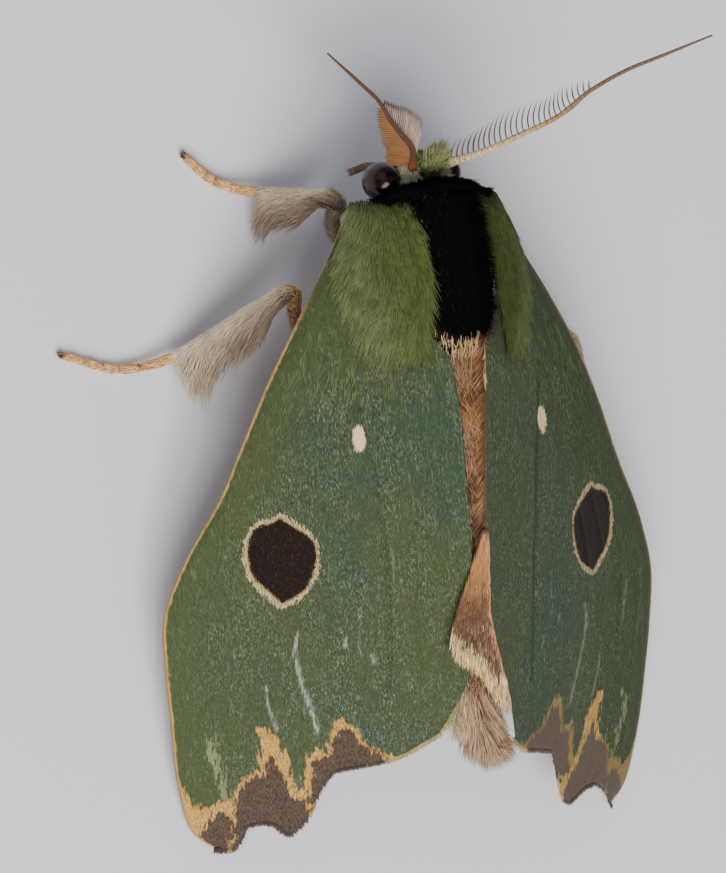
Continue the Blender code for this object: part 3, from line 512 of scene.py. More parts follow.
def bodyHair(name, coat, finish, slot, zoneOf, lie=(0.0, 1.0, 0.0), fan=0.0, lift=0.3, droop=0.15, spread=0.2,
             keep=None):
    # hairs rooted on the skin over a stretch of y and an arc of turns v, lying along lie with a fan by x
    stretch, arc, length, width = (coat[word] for word in ("stretch", "arc", "length", "width"))
    spots = scatter(coat["count"])
    y = stretch[0] + spots[:, 0] * (stretch[1] - stretch[0])
    u = (y - bodyLength[0]) / (bodyLength[1] - bodyLength[0])
    v = arc[0] + spots[:, 1] * (arc[1] - arc[0])
    point, along, around, normal = frameOn(skinShape, u, v)
    normal = turnOut(normal, point, np.stack([0 * y, y, 0 * y + 4.9], axis=1))
    if keep is not None:
        chosen = keep(point)
        point, normal, u, v = point[chosen], normal[chosen], u[chosen], v[chosen]
    lies = np.tile(np.array(lie, float), (len(point), 1))
    lies[:, 0] += fan * point[:, 0]
    reach = length(point) if callable(length) else np.full(len(point), length)
    reach = reach * random.uniform(0.75, 1.25, len(point))
    lift = lift(point) if callable(lift) else lift
    path = layHair(point, normal, lies, reach, lift, droop, spread=spread)
    place = np.stack([u, v % 1.0], axis=1)
    return makeCoat(name, path, normal, width * random.uniform(0.75, 1.25, len(point)), finish, slot,
                    zoneOf(point), place)


# black fur of the back and collar

blackFinish = coatFinish("blackFur", [(0.0, (7, 5, 4)), (0.55, (12, 8, 6)), (0.85, (22, 16, 13)),
                                      (1.0, (120, 100, 80))], rootShade=0.6, roughness=0.9, sheen=0.0)
blackFinish.node_tree.nodes["Principled BSDF"].inputs["Specular IOR Level"].default_value = 0.08
backFur = {"count": 10500, "stretch": (0.8, 6.75), "arc": (0.02, 0.48), "length": 0.62, "width": 0.07}
flankFur = {"count": 2600, "stretch": (1.0, 6.1), "arc": (0.32, 0.46), "length": 0.95, "width": 0.06}


def backEnd(p):  # where the black ends, rounded: 6.05 - 0.4 (x + 0.2)^2
    return 6.05 - 0.4 * (p[:, 0] + 0.2) ** 2


def backZone(p):  # darkest in the middle, a few grey tips at the tail end
    tail = smoothStep(p[:, 1], 5.4, 6.6) * (np.abs(p[:, 0] + 0.3) < 0.5) * (random.random(len(p)) > 0.9)
    return 0.1 + 0.3 * random.random(len(p)) + 0.7 * tail


def onBack(p):  # between the two shoulder covers, wider on the animal's right
    between = (p[:, 0] < 1.5) & (p[:, 0] > -2.3)
    return (p[:, 1] < backEnd(p)) & (between | (p[:, 1] < 1.5))


bodyHair("backFur", backFur, blackFinish, "black_fur", backZone, fan=0.05, lift=0.5, droop=0.2, keep=onBack)
# longer, upright fur on the flank under the right cover's edge
bodyHair("flankFur", flankFur, blackFinish, "black_fur", backZone, lie=(-0.5, 1.0, 0.0), lift=1.0,
         droop=0.25, spread=0.3)

collar = {"front": 0.6, "back": 1.15, "span": 2.5, "crest": 7.84, "fall": (0.165, 0.3), "under": 6.86,
          "underFall": 0.19, "sweep": (0.17, 0.1), "count": 4400, "length": 0.36, "width": 0.06}


def collarMiddle(x):  # y of the arch: sweep x^2 / (1 + 0.4 |x|), stepped back behind the left eye
    sweep = np.where(x > 0, collar["sweep"][1], collar["sweep"][0])
    step = 0.22 * smoothStep(x, 1.3, 1.9)
    return 0.5 * (collar["front"] + collar["back"]) + sweep * x ** 2 / (1 + 0.4 * np.abs(x)) + step


def collarSurface(u, v, inset=0.1):
    # arch z from under - k|x| to crest - fall x^2, its section an oval between front and back
    x = (2 * u - 1) * (collar["span"] - 0.3)
    fall = np.where(x > 0, collar["fall"][1], collar["fall"][0])
    top = collar["crest"] - fall * x ** 2 - inset - 0.16
    low = np.minimum(collar["under"] - collar["underFall"] * np.abs(x) + inset, top - 0.35)
    low = low + 0.35 * (top - low) * smoothStep(np.abs(x), 1.4, 2.3)
    angle = 2 * np.pi * v
    taper = 1 - 0.75 * smoothStep(-x, 1.1, 2.3)
    depth = 0.5 * (collar["back"] - collar["front"]) * taper - inset
    tall = 0.5 * (top - low) * taper
    return np.stack([x, collarMiddle(x) + np.maximum(depth, 0.05) * np.cos(angle),
                     top - 0.5 * (top - low) + tall * np.sin(angle)], axis=-1)


u, v = np.meshgrid(np.linspace(0, 1, 60), np.arange(20) / 20, indexing="ij")
makePiece("collarSkin", *tubeMesh(collarSurface(u, v)), blackFinish, "black_fur", ("collar",))
spots = scatter(collar["count"])
point, along, around, normal = frameOn(collarSurface, spots[:, 0], spots[:, 1])
middleY = collarMiddle(point[:, 0])
droop = np.where(point[:, 0] > 0, collar["fall"][1], collar["fall"][0])
centreLine = np.stack([point[:, 0], middleY, 7.1 - 0.8 * droop * point[:, 0] ** 2], axis=1)
normal = turnOut(normal, point, centreLine)
behind = smoothStep(point[:, 1] - middleY, -0.12, 0.1)
rising = 1.0 - 0.5 * behind - 0.25 * np.abs(point[:, 0])
lies = np.stack([0.45 * point[:, 0], 0.25 + 1.1 * behind, rising], axis=1)
reach = collar["length"] * random.uniform(0.6, 1.2, len(point)) * (1 - 0.35 * behind)
reach = reach * (1 - 0.5 * smoothStep(point[:, 0], 1.0, 1.6) * (1 - behind))
path = layHair(point, normal, lies, reach, 0.25, 0.15, sink=0.05)
makeCoat("collarFur", path, normal, collar["width"] * random.uniform(0.7, 1.3, len(point)), blackFinish,
         "black_fur", 0.2 + 0.5 * random.random(len(point)), spots)
print("stage: back and collar")

# head

headFinish = coatFinish("headFur", [(0.0, (128, 142, 72)), (0.35, (158, 168, 98)), (0.7, (214, 204, 150)),
                                    (1.0, (246, 236, 196))], rootShade=0.6, tips=(226, 222, 170),
                         tipShare=0.4)
headFur = {"count": 5200, "stretch": (-0.5, 0.78), "arc": (0.0, 1.0), "length": 0.36, "width": 0.065}
eyes = {"left": ((1.45, 0.56, 5.52), (0.68, 0.7, 0.82)), "right": ((-1.28, 0.47, 5.25), (0.6, 0.66, 0.78))}


def clearOfEyes(p, room=0.03):
    clear = np.ones(len(p), bool)
    for centre, axes in eyes.values():
        clear &= np.sum(((p - centre) / (np.array(axes) + room)) ** 2, axis=1) > 1.0
    return clear


def headZone(p):  # greener on the crown, cream beside the eyes and on the face
    return 0.25 + 0.65 * smoothStep(np.abs(p[:, 0]), 0.4, 0.9) + 0.35 * smoothStep(5.6 - p[:, 2], 0, 1.0)


bodyHair("headFur", headFur, headFinish, "head_fur", headZone, lie=(0.0, -0.5, 0.5), lift=0.35, droop=0.1,
         keep=clearOfEyes)

cheekFinish = coatFinish("cheekFur", [(0.0, (236, 232, 214)), (0.6, (246, 240, 206)), (1.0, (214, 214, 150))],
                         rootShade=0.8, tips=(252, 248, 232), tipShare=0.6)
cheek = {"count": 1100, "length": 0.5, "width": 0.05, "stretch": (0.0, 0.74), "from": 0.06, "to": 0.15}
for side, word in bothSides:
    cheek["arc"] = (0.25 - side * cheek["from"], 0.25 - side * cheek["to"])
    bodyHair("cheekFur_" + word, cheek, cheekFinish, "head_fur", anyZone, lie=(side * 0.25, 0.1, 0.6),
             lift=0.9, droop=0.1, spread=0.5)

crest = {"count": 1900, "length": 1.45, "width": 0.045}
angle = random.uniform(0, 2 * np.pi, crest["count"])
radius = np.sqrt(random.random(crest["count"]))
rootX, rootY = -0.14 + 0.46 * radius * np.cos(angle), 0.3 + 0.32 * radius * np.sin(angle)
rootZ = 5.25 + 1.05 * np.sqrt(1 - (rootX / 1.45) ** 2)
roots = np.stack([rootX, rootY, rootZ], axis=1)
crestUp = normalise(np.stack([0.15 * rootX, -0.8 + 0.5 * rootY, np.full(len(rootX), 1.0)], axis=1))
f = np.linspace(0, 1, 5)[None, :, None]
reach = crest["length"] * random.uniform(0.75, 1.1, len(roots)) * (1.0 - 0.5 * radius ** 1.5)
reach = reach[:, None, None]
sway = random.normal(0, 0.13, (len(roots), 1, 3)) * [1, 1, 0.3]
path = roots[:, None] + reach * (f * crestUp[:, None] + f ** 2 * (sway + np.array([0.0, -0.05, 0.0])))
outward = normalise(np.stack([rootX, rootY - 0.2, 0 * rootX + 0.2], axis=1) + 1e-6)
crestFinish = coatFinish("crestFur", [(0.0, (96, 110, 54)), (0.5, (128, 138, 74)), (1.0, (196, 194, 130))],
                         rootShade=0.7, tips=(232, 228, 170), tipShare=0.8, vary=0.35)
width = crest["width"] * random.uniform(0.7, 1.2, len(roots))
zone = 0.1 + 0.8 * random.random(len(roots)) ** 2
place = np.stack([radius * 0.05 + 0.03, angle / 7], axis=1)
makeCoat("headCrest", path, outward, width, crestFinish, "head_fur", zone, place)

eyeFinish = Finish("eyeGloss", 0.2, Specular_IOR_Level=0.5, IOR=1.5)
facets = eyeFinish.cells(24.0)
eyeFinish.twoTone(facets, 0.1, 0.7, (12, 7, 7), (6, 4, 4))
eyeFinish.shader.inputs["Specular Tint"].default_value = screenColour((255, 215, 205))
eyeFinish.bump(facets, 0.005, 0.15)
for word, (centre, axes) in eyes.items():
    u, v = np.meshgrid(np.linspace(0.02, 0.98, 60), np.arange(96) / 96, indexing="ij")
    lat, lon = np.pi * u, 2 * np.pi * v
    ball = np.stack([np.cos(lat), np.sin(lat) * np.cos(lon), np.sin(lat) * np.sin(lon)], axis=-1)
    makePiece("eyeBall_" + word, *tubeMesh(centre + ball * axes), eyeFinish.material, "eye",
              ("eye_" + word,))
print("stage: head")

# forewings

wing = {
    "rows": 200, "lines": 140, "thick": 0.08, "costaThick": 0.13, "vein": 0.035, "veinWidth": 0.1,
    "crowding": 1.2, "termenPower": 4.0, "crease": 0.05, "creaseWidth": 0.14,
    "costa": [(2.75, 1.45), (3.2, 2.0), (3.85, 3.05), (5.06, 4.92), (6.41, 7.19), (7.4, 9.25), (8.2, 11.1),
              (9.6, 13.67), (10.15, 15.3), (10.1, 17.1), (9.9, 18.9), (9.5, 21.5), (8.9, 23.1), (8.2, 23.65)],
    "innerLeft": [(2.3, 2.8), (2.2, 4.0), (2.1, 5.2), (1.5, 6.0), (0.95, 6.5), (0.64, 7.2), (0.5, 8.4),
                  (0.42, 11.1), (0.32, 14.4), (0.35, 17.2), (0.4, 18.6), (0.8, 19.5)],
    "innerRight": [(2.3, 2.8), (2.2, 4.0), (2.1, 5.2), (1.6, 6.0), (1.1, 6.7), (0.85, 7.7), (0.7, 8.7),
                   (0.42, 11.1), (0.3, 14.0), (0.35, 16.0), (1.1, 18.0), (1.85, 19.8), (2.15, 20.9)],
    "termenLeft": [(8.2, 23.7), (7.62, 23.75), (7.42, 23.45), (7.27, 22.92), (6.76, 22.86), (6.4, 22.98),
                   (6.09, 23.3), (5.85, 23.45), (5.38, 22.94), (5.19, 22.45), (5.1, 22.05), (4.89, 21.62),
                   (4.6, 21.28), (3.66, 21.2), (2.91, 21.14), (2.34, 20.96), (1.77, 20.66), (1.26, 20.38),
                   (0.8, 19.5)],
    "termenRight": [(8.2, 23.7), (7.9, 23.3), (7.48, 22.92), (7.04, 22.78), (6.52, 22.88), (6.03, 23.15),
                    (5.65, 23.38), (5.3, 23.3), (5.03, 23.0), (4.88, 22.6), (4.64, 22.0), (4.36, 21.42),
                    (3.41, 21.32), (2.7, 21.28), (2.15, 20.9)]}
# where the photo's pixels lie on the moth: its zero pixel, the turn of its length, pixels per mm, the height
# of that zero, and the level and upright shares of a line of sight from 60 degrees above
photoView = {"zero": (433, 160), "turn": (0.9947, 0.1028), "scale": 28, "height": 6.8, "level": 0.866,
             "upright": 0.5}
# pixels in the photo, 726 wide and 873 high, read off it
photoMarks = {
    "brownMiddle": [(233.9, 821.2), (235.6, 806.3), (238.5, 790.2), (245.4, 781), (255.7, 777.6),
                    (264.3, 775.3), (266, 760.4), (269.5, 756.3), (275.2, 759.2), (279.8, 769.5),
                    (286.7, 781), (290.1, 790.2), (297, 799.4), (306.2, 805.1), (313.1, 814.3)],
    "brownOuter": [(208, 823.5), (214.4, 814.9), (224.7, 812), (232.7, 817.8)],
    "brownInner": [(312.3, 773.8), (313.8, 761.9), (322.7, 755.9), (330.1, 757.4), (333.1, 741.1),
                   (339, 729.2), (349.5, 728.4), (356.9, 738.1), (364.3, 747), (379.2, 753), (388.1, 757.4)],
    "ochreMiddle": [(232.7, 806.3), (233.9, 794.8), (238.5, 783.3), (249.9, 773.6), (259.7, 768.4),
                    (260.3, 748.9), (257.4, 728.2), (266, 726.5), (275.2, 737.4), (285.5, 751.2),
                    (288.4, 760.4), (289.6, 771.8), (294.7, 783.3), (299.9, 792.5)],
    "ochreOuter": [(183.4, 789.1), (191.4, 801.7), (202.9, 809.7), (214.4, 804), (224.7, 801.7),
                   (233.9, 798.2)],
    "ochreInner": [(309.3, 750), (319.7, 748.5), (327.9, 753), (329.4, 735.1), (333.1, 723.2),
                   (340.5, 718.8), (350.9, 723.2), (359.1, 733.6), (367.3, 745.5)],
    "spotOuter": [(281.93, 512.99), (290.35, 517.89), (307.19, 529.12), (317.72, 541.75), (319.12, 560),
                  (317.02, 578.25), (307.19, 592.28), (297.37, 602.11), (280.53, 608.42), (272.11, 602.11),
                  (258.07, 590.88), (246.84, 576.84), (242.63, 558.6), (244.04, 540.35), (251.05, 526.32),
                  (260.88, 520), (272.11, 517.89)],
    "spotInner": [(279.82, 517.89), (290.35, 524.91), (307.19, 534.74), (314.91, 543.16), (317.02, 555.79),
                  (313.51, 574.04), (305.79, 589.47), (293.16, 597.89), (281.93, 603.51), (272.11, 593.68),
                  (256.67, 581.05), (250.35, 569.82), (248.25, 555.79), (248.25, 540.35), (253.86, 529.12),
                  (262.28, 524.91), (272.11, 523.51)],
    "shortStreak": [(266, 687), (268, 706), (274, 720), (278, 731.7)],
    "longStreak": [(297.4, 634.4), (294.6, 651.2), (298.8, 673.7), (304.4, 690.5), (307.3, 699.5),
                   (313, 714), (317.7, 731.7)],
    "flecks": [(345, 638), (360, 610), (372, 655)],
    "yellowStreak": [(217.8, 736.3), (210.9, 743.1), (214.4, 760.4), (221.3, 775.3), (222.4, 789.1),
                     (227, 799.4)],
    "crease": [(539, 360), (537, 450), (535, 560), (532, 680)]}


def onWing(mark, side=1):
    # plan places in mm of a mark's pixels: turned and scaled about the zero, then x is where the line of
    # sight meets wingTop, the root of curve x^2 + slope x + gap = 0, rounded to 0.01 mm
    dx, dy = (np.array(photoMarks[mark], float) - photoView["zero"]).T
    cosine, sine = photoView["turn"]
    y = (sine * dx + cosine * dy) / photoView["scale"]
    right = (cosine * dx - sine * dy) / photoView["scale"]
    curve = photoView["upright"] * roof["curve"]
    slope = photoView["upright"] * roof["slope"] + side * photoView["level"]
    gap = right - photoView["upright"] * (wingTop(0.0, y) - photoView["height"])
    x = (side * np.sqrt(slope ** 2 - 4 * curve * gap) - slope) / (2 * curve)
    return [tuple(place) for place in np.round(np.stack([x, y], axis=1), 2).tolist()]


flecks = onWing("flecks")
marks = {
    # the points in mm finish each outline and close it past the wing's edge
    "brown": [onWing("brownMiddle") + [(5.2, 24.6), (7.8, 24.6)],
              onWing("brownOuter") + [(7.8, 24.6), (9.0, 24.6), (8.85, 23.2)],
              onWing("brownInner") + [(2.7, 22.4), (5.5, 22.4)]],
    "ochre": [onWing("ochreMiddle") + [(5.0, 22.6), (5.2, 24.6), (7.9, 24.6)],
              onWing("ochreOuter") + [(7.7, 24.6), (9.6, 24.6), (9.9, 21.6)],
              onWing("ochreInner") + [(3.18, 20.82), (2.85, 20.95), (2.4, 21.18), (1.6, 20.88), (1.6, 22.4),
                                      (5.7, 22.6)]],
    "spotOuter": onWing("spotOuter"), "spotInner": onWing("spotInner"),
    "dot": (3.8, 9.62, 0.26, 0.56),
    "streaks": [(onWing("shortStreak"), 0.07, 0.8), (onWing("longStreak"), 0.09, 1.0),
                ([flecks[0], (4.44, 16.9)], 0.1, 0.8), ([flecks[1], (3.97, 15.95)], 0.08, 0.7),
                ([flecks[2], (3.5, 17.62)], 0.08, 0.7)],
    "yellowStreak": onWing("yellowStreak"), "crease": onWing("crease", side=-1)}


def wingPlan(s, t, side):
    # straight lines from costa(s) to inner(s), pushed out by s^4 so that the last row follows the termen
    margin = wing["innerLeft"] if side > 0 else wing["innerRight"]
    end = np.array(wing["termenLeft"] if side > 0 else wing["termenRight"])
    inner = splineThrough(margin, s)
    costa = splineThrough(wing["costa"], s)
    start, stop = np.array(wing["costa"][-1]), np.array(margin[-1])
    share = (start[0] - end[:, 0]) / (start[0] - stop[0])
    reach = end[:, 1] - (start[1] + share * (stop[1] - start[1]))
    plan = costa * (1 - t[..., None]) + inner * t[..., None]
    plan[..., 1] += np.interp(t, share, reach) * s ** wing["termenPower"]
    return plan


def wingMarks(plan, side):
    # distances in millimetres from each marking's edge, positive inside
    flat = plan.reshape(-1, 2)
    values = {
        "brownIn": np.max([outlineGap(flat, o) for o in marks["brown"]], axis=0),
        "ochreIn": np.max([outlineGap(flat, o) for o in marks["ochre"]], axis=0),
        "spotIn": outlineGap(flat, marks["spotOuter"]), "coreIn": outlineGap(flat, marks["spotInner"]),
        "creaseGap": lineGap(flat, marks["crease"]),
        "yellowGap": lineGap(flat, marks["yellowStreak"])}
    x, y, halfWide, halfLong = marks["dot"]
    values["dotIn"] = 1 - np.sqrt(((flat[:, 0] - x) / halfWide) ** 2 + ((flat[:, 1] - y) / halfLong) ** 2)
    pale = np.zeros(len(flat))
    for line, width, power in marks["streaks"]:
        pale = np.maximum(pale, power * (1 - smoothStep(lineGap(flat, line), 0.3 * width, width)))
    values["paleStreak"] = pale
    return values


def wingFinish(name, side):
    # scaled membrane: fine lengthwise fibres over green, then each marking by its signed distance
    f = Finish(name, 0.7, Specular_IOR_Level=0.18, Sheen_Weight=0.05, Sheen_Roughness=0.5)
    # dim darkens the whole right wing: painted shade on the right wing
    dim = 1.0 if side > 0 else 0.8
    fine = f.noise(24.0, (1.0, 0.25, 1.0), detail=3, rough=0.65)
    fibre = f.noise(12.0, (1.0, 0.2, 1.0), detail=3, shift=7.0)
    speck = f.noise(24.0, (1.0, 0.4, 1.0), detail=2, shift=3.0)
    broad = f.noise(0.28, (1.0, 0.5, 1.0), detail=3, shift=1.7)
    edge = f.sum("MULTIPLY", f.sum("SUBTRACT", f.noise(8.0, (1.0, 0.16, 1.0), detail=3, shift=5.0), 0.5), 0.7)
    costaGap, upper, fromRoot = f.value("costaGap"), f.value("upper"), f.value("fromRoot")
    green = f.mix(f.between(broad, 0.35, 0.65), screenColour((60, 78, 58)), screenColour((72, 82, 50)))
    green = f.mix(f.between(costaGap, 0.4, 2.6, 0.75, 0.0), green, screenColour((76, 86, 50)))
    green = f.mix(f.between(fromRoot, 0.0, 8.5, 0.8, 0.0), green, screenColour((72, 84, 48)))
    # painted shade: the right wing is darker olive towards the costa, on the side that faces away from the
    # light
    if side < 0:
        green = f.mix(f.between(costaGap, 1.6, 4.6, 0.85, 0.0), green, screenColour((54, 68, 30)))
    patches = f.between(f.noise(1.3, (1.0, 0.35, 1.0), detail=4, shift=2.0), 0.35, 0.65, 0.3, 1.0)
    patches = f.sum("MULTIPLY", patches, f.between(costaGap, 0.3, 2.2, 0.3, 1.0))
    light = f.sum("MULTIPLY", f.between(fine, 0.48, 0.68), patches)
    green = f.mix(f.sum("MULTIPLY", light, 0.8), green, screenColour((140, 150, 122)))
    green = f.mix(f.between(fibre, 0.56, 0.74, 0.0, 0.35), green, screenColour((132, 148, 116)))
    green = f.mix(f.between(fibre, 0.3, 0.46, 0.45, 0.0), green, screenColour((48, 64, 42)))
    darker = f.sum("MULTIPLY", f.between(speck, 0.34, 0.52, 0.65, 0.0), patches)
    green = f.mix(darker, green, screenColour((38, 52, 34)))
    worn = f.noise(1.1, (1.6, 0.18, 1.6), detail=5, rough=0.75, shift=11.0)
    scuff = f.sum("MULTIPLY", f.between(worn, 0.6, 0.74), f.between(fromRoot, 10.0, 15.0))
    green = f.mix(f.sum("MULTIPLY", scuff, 0.5), green, screenColour((168, 178, 160)))
    broken = f.between(fibre, 0.35, 0.6, 0.1, 0.75 if side > 0 else 0.35)
    green = f.mix(f.sum("MULTIPLY", f.value("paleStreak"), broken), green, screenColour((196, 200, 180)))
    yellow = f.between(f.sum("ADD", f.value("yellowGap"), f.sum("MULTIPLY", edge, 1.6)), 0.0, 0.16, 0.55, 0.0)
    yellow = f.sum("MULTIPLY", yellow, f.between(fine, 0.3, 0.6, 0.3, 1.0))
    green = f.mix(yellow, green, screenColour((178, 184, 136)))
    # painted shade in the crease: a dark line along it, stronger on the right wing
    crease = f.between(f.value("creaseGap"), 0.0, 0.16, 0.65 if side < 0 else 0.25, 0.0)
    green = f.mix(crease, green, screenColour((36, 58, 42)))
    ochreIn = f.sum("ADD", f.value("ochreIn"), edge)
    brownIn = f.sum("ADD", f.value("brownIn"), edge)
    ochre = f.mix(f.between(fine, 0.35, 0.62), screenColour((160, 116, 54)), screenColour((232, 184, 102)))
    brown = f.mix(f.between(fine, 0.35, 0.65), screenColour((64, 51, 42)), screenColour((104, 86, 72)))
    if side < 0:
        peak = f.sum("MULTIPLY", f.between(costaGap, 2.0, 2.6), f.between(costaGap, 3.4, 4.0, 1.0, 0.0))
        ochre = f.mix(f.between(peak, 0.0, 1.0, 0.6, 0.0), ochre, screenColour((96, 98, 62)))
        brown = f.mix(0.35, brown, screenColour((128, 112, 96)))
    colour = f.mix(f.between(ochreIn, -0.05, 0.08), green, ochre)
    colour = f.mix(f.between(brownIn, -0.06, 0.06), colour, brown)
    rim = f.mix(f.between(fine, 0.38, 0.6), screenColour((140, 110, 64)), screenColour((224, 200, 150)))
    smallEdge = f.sum("MULTIPLY", f.sum("SUBTRACT", fine, 0.5), 0.45)
    colour = f.mix(f.between(f.sum("ADD", f.value("spotIn"), smallEdge), -0.03, 0.03), colour, rim)
    core = f.mix(f.between(fine, 0.5, 0.7, 0.0, 0.7), screenColour((22, 11, 8)), screenColour((80, 50, 30)))
    colour = f.mix(f.between(f.sum("ADD", f.value("coreIn"), smallEdge), -0.03, 0.03), colour, core)
    dot = f.between(f.sum("ADD", f.value("dotIn"), f.sum("MULTIPLY", smallEdge, 2.2)), 0.05, 0.3)
    colour = f.mix(dot, colour, screenColour((255, 224, 172)))
    stripe = f.between(f.sum("ADD", costaGap, f.sum("MULTIPLY", edge, 0.2)), 0.04, 0.1, 1.0, 0.0)
    stripe = f.sum("MULTIPLY", stripe, f.between(fromRoot, 2.5, 5.0))
    colour = f.mix(stripe, colour, screenColour((206, 156, 88)))
    rimLine = f.between(costaGap, 0.0, 0.03, 0.7, 0.0)
    colour = f.mix(rimLine, colour, screenColour((150, 100, 70)))
    # painted shade: the right wing's colour multiplied by dim
    colour = f.mix(1.0, colour, (dim, dim, dim, 1.0), "MULTIPLY")
    under = f.mix(f.between(fine, 0.3, 0.7), screenColour((150, 132, 100)), screenColour((178, 160, 126)))
    colour = f.mix(upper, under, colour)
    f.colour(colour)
    height = f.sum("ADD", f.sum("MULTIPLY", fine, 0.6), f.sum("MULTIPLY", speck, 0.5))
    f.bump(height, 0.05, 1.0)
    return f.material


wingFinishes = {1: wingFinish("wingLeft", 1), -1: wingFinish("wingRight", -1)}
fringe = {
    "count": 3600, "root": 0.995, "reach": 0.23, "width": 0.05,
    "stops": [(0.0, (60, 46, 38)), (0.3, (80, 62, 50)), (0.42, (190, 150, 92)), (0.7, (214, 176, 110)),
              (0.85, (130, 145, 80)), (1.0, (92, 120, 70))]}
fringeFinish = coatFinish("wingFringe", fringe["stops"], rootShade=0.75, tips=(200, 170, 116), tipShare=0.2,
                          spread=0.08)


def wingHeight(s, t, side, plan):
    # the roof plus veins and crease: vein exp(-(t distance / width)^2) faded in over the first third
    span = np.linalg.norm(plan[..., :1, :] - plan[..., -1:, :], axis=-1)
    gap = np.abs((t * 10 + 0.5) % 1.0 - 0.5) / 10 * np.maximum(span, 0.5)
    ridge = wing["vein"] * np.exp(-(gap / wing["veinWidth"]) ** 2) * smoothStep(s, 0.0, 0.3)
    z = wingTop(plan[..., 0], plan[..., 1]) + ridge
    fromCrease = lineGap(plan.reshape(-1, 2), marks["crease"]).reshape(z.shape)
    return z - wing["crease"] * np.exp(-(fromCrease / wing["creaseWidth"]) ** 2)


for side, word in bothSides:
    s, t = np.meshgrid(np.linspace(0, 1, wing["rows"]) ** wing["crowding"], np.linspace(0, 1, wing["lines"]),
                       indexing="ij")
    plan = wingPlan(s, t, side)
    top = wingHeight(s, t, side, plan)
    costaGap = np.linalg.norm(plan - plan[:, :1], axis=-1)
    body = wing["thick"] + (wing["costaThick"] - wing["thick"]) * np.exp(-(costaGap / 0.35) ** 2)
    body = body * smoothStep(costaGap, -0.25, 0.25) * (1 - 0.6 * smoothStep(s, 0.9, 1.0))
    turnedDown = 0.14 * (1 - smoothStep(costaGap, 0.0, 0.3))
    upper = np.stack([side * plan[..., 0], plan[..., 1], top - turnedDown], axis=-1)
    lower = upper - np.stack([0 * body, 0 * body, body], axis=-1)
    points, quads, triangles = sheetMesh(upper, lower)
    values = wingMarks(plan, side)
    values["costaGap"] = costaGap.ravel()
    values["fromRoot"] = plan[..., 1].ravel() - 1.45
    both = {key: np.concatenate([v.reshape(plan.shape[:2]), v.reshape(plan.shape[:2])[:, ::-1]], axis=1)
            for key, v in values.items()}
    both["upper"] = np.concatenate([np.ones(plan.shape[:2]), np.zeros(plan.shape[:2])], axis=1)
    makePiece("wing_" + word, points, quads, triangles, wingFinishes[side], "green_wing",
              ("forewing_" + word,), both)
    # fringe along the termen, leaning out and tailward
    count = fringe["count"]
    place = np.sort(random.random(count))
    last = np.full(count, fringe["root"])
    rootPlan = wingPlan(last, place, side)
    z = wingTop(rootPlan[:, 0], rootPlan[:, 1]) - 0.06
    roots = np.stack([side * rootPlan[:, 0], rootPlan[:, 1], z], axis=1)
    before, after = (wingPlan(last, np.clip(place + step, 0, 1), side) for step in (-0.01, 0.01))
    beside = after - before
    out = np.stack([side * beside[:, 1] * 0.35, np.abs(beside[:, 0]) + 0.35, 0 * z - 0.02], axis=1)
    normal = normalise(np.stack([side * 0.44 + 0 * z, 0 * z, 1 + 0 * z], axis=1))
    reach = fringe["reach"] * random.uniform(0.5, 1.3, count)
    path = layHair(roots, normal, normalise(out), reach, 0.05, 0.06, 3, spread=0.25, sink=0.0)
    brown = np.max([outlineGap(rootPlan, o) for o in marks["brown"]], axis=0) > random.normal(0, 0.05, count)
    ochre = np.max([outlineGap(rootPlan, o) for o in marks["ochre"]], axis=0) > -0.1
    zone = np.where(brown, 0.14, np.where(ochre, 0.58, 0.8 - 0.3 * (random.random(count) > 0.6)))
    zone = zone + random.normal(0, 0.06, count)
    width = fringe["width"] * random.uniform(0.7, 1.2, count)
    makeCoat("termenFringe_" + word, path, normal, width, fringeFinish, "green_wing", zone,
             np.stack([np.full(count, 0.97), place], axis=1), thin=0.2)
print("stage: forewings")

# hindwings

hind = {"rows": 90, "lines": 60, "thick": 0.1, "drop": 0.86,
        "costa": [(2.9, 4.9), (3.9, 6.2), (5.5, 8.5), (7.0, 11.0), (7.8, 13.0), (8.2, 16.5), (7.4, 18.5)],
        "inner": [(2.4, 5.4), (2.3, 6.8), (2.2, 9.0), (2.15, 12.0), (2.15, 14.5), (2.2, 16.0), (2.4, 17.3)]}
hindFinish = Finish("hindWing", 0.65, Specular_IOR_Level=0.25, Sheen_Weight=0.1)
fine = hindFinish.noise(8.0, (1.0, 0.18, 1.0), detail=4, rough=0.7)
hindFinish.twoTone(fine, 0.3, 0.7, (132, 114, 90), (176, 158, 128))
hindFinish.bump(fine, 0.03, 0.7)
for side, word in bothSides:
    s, t = np.meshgrid(np.linspace(0, 1, hind["rows"]), np.linspace(0, 1, hind["lines"]), indexing="ij")
    costaLine, innerLine = splineThrough(hind["costa"], s), splineThrough(hind["inner"], s)
    plan = costaLine * (1 - t[..., None]) + innerLine * t[..., None]
    pleat = 0.03 * np.cos(2 * np.pi * t * 7) * smoothStep(s, 0.05, 0.4)
    z = wingTop(plan[..., 0], plan[..., 1]) - hind["drop"] + pleat
    upper = np.stack([side * plan[..., 0], plan[..., 1], z], axis=-1)
    lower = upper - [0, 0, hind["thick"]]
    makePiece("underWing_" + word, *sheetMesh(upper, lower), hindFinish.material, "hind_wing",
              ("hindwing_" + word,))
print("stage: hindwings")

# shoulder covers

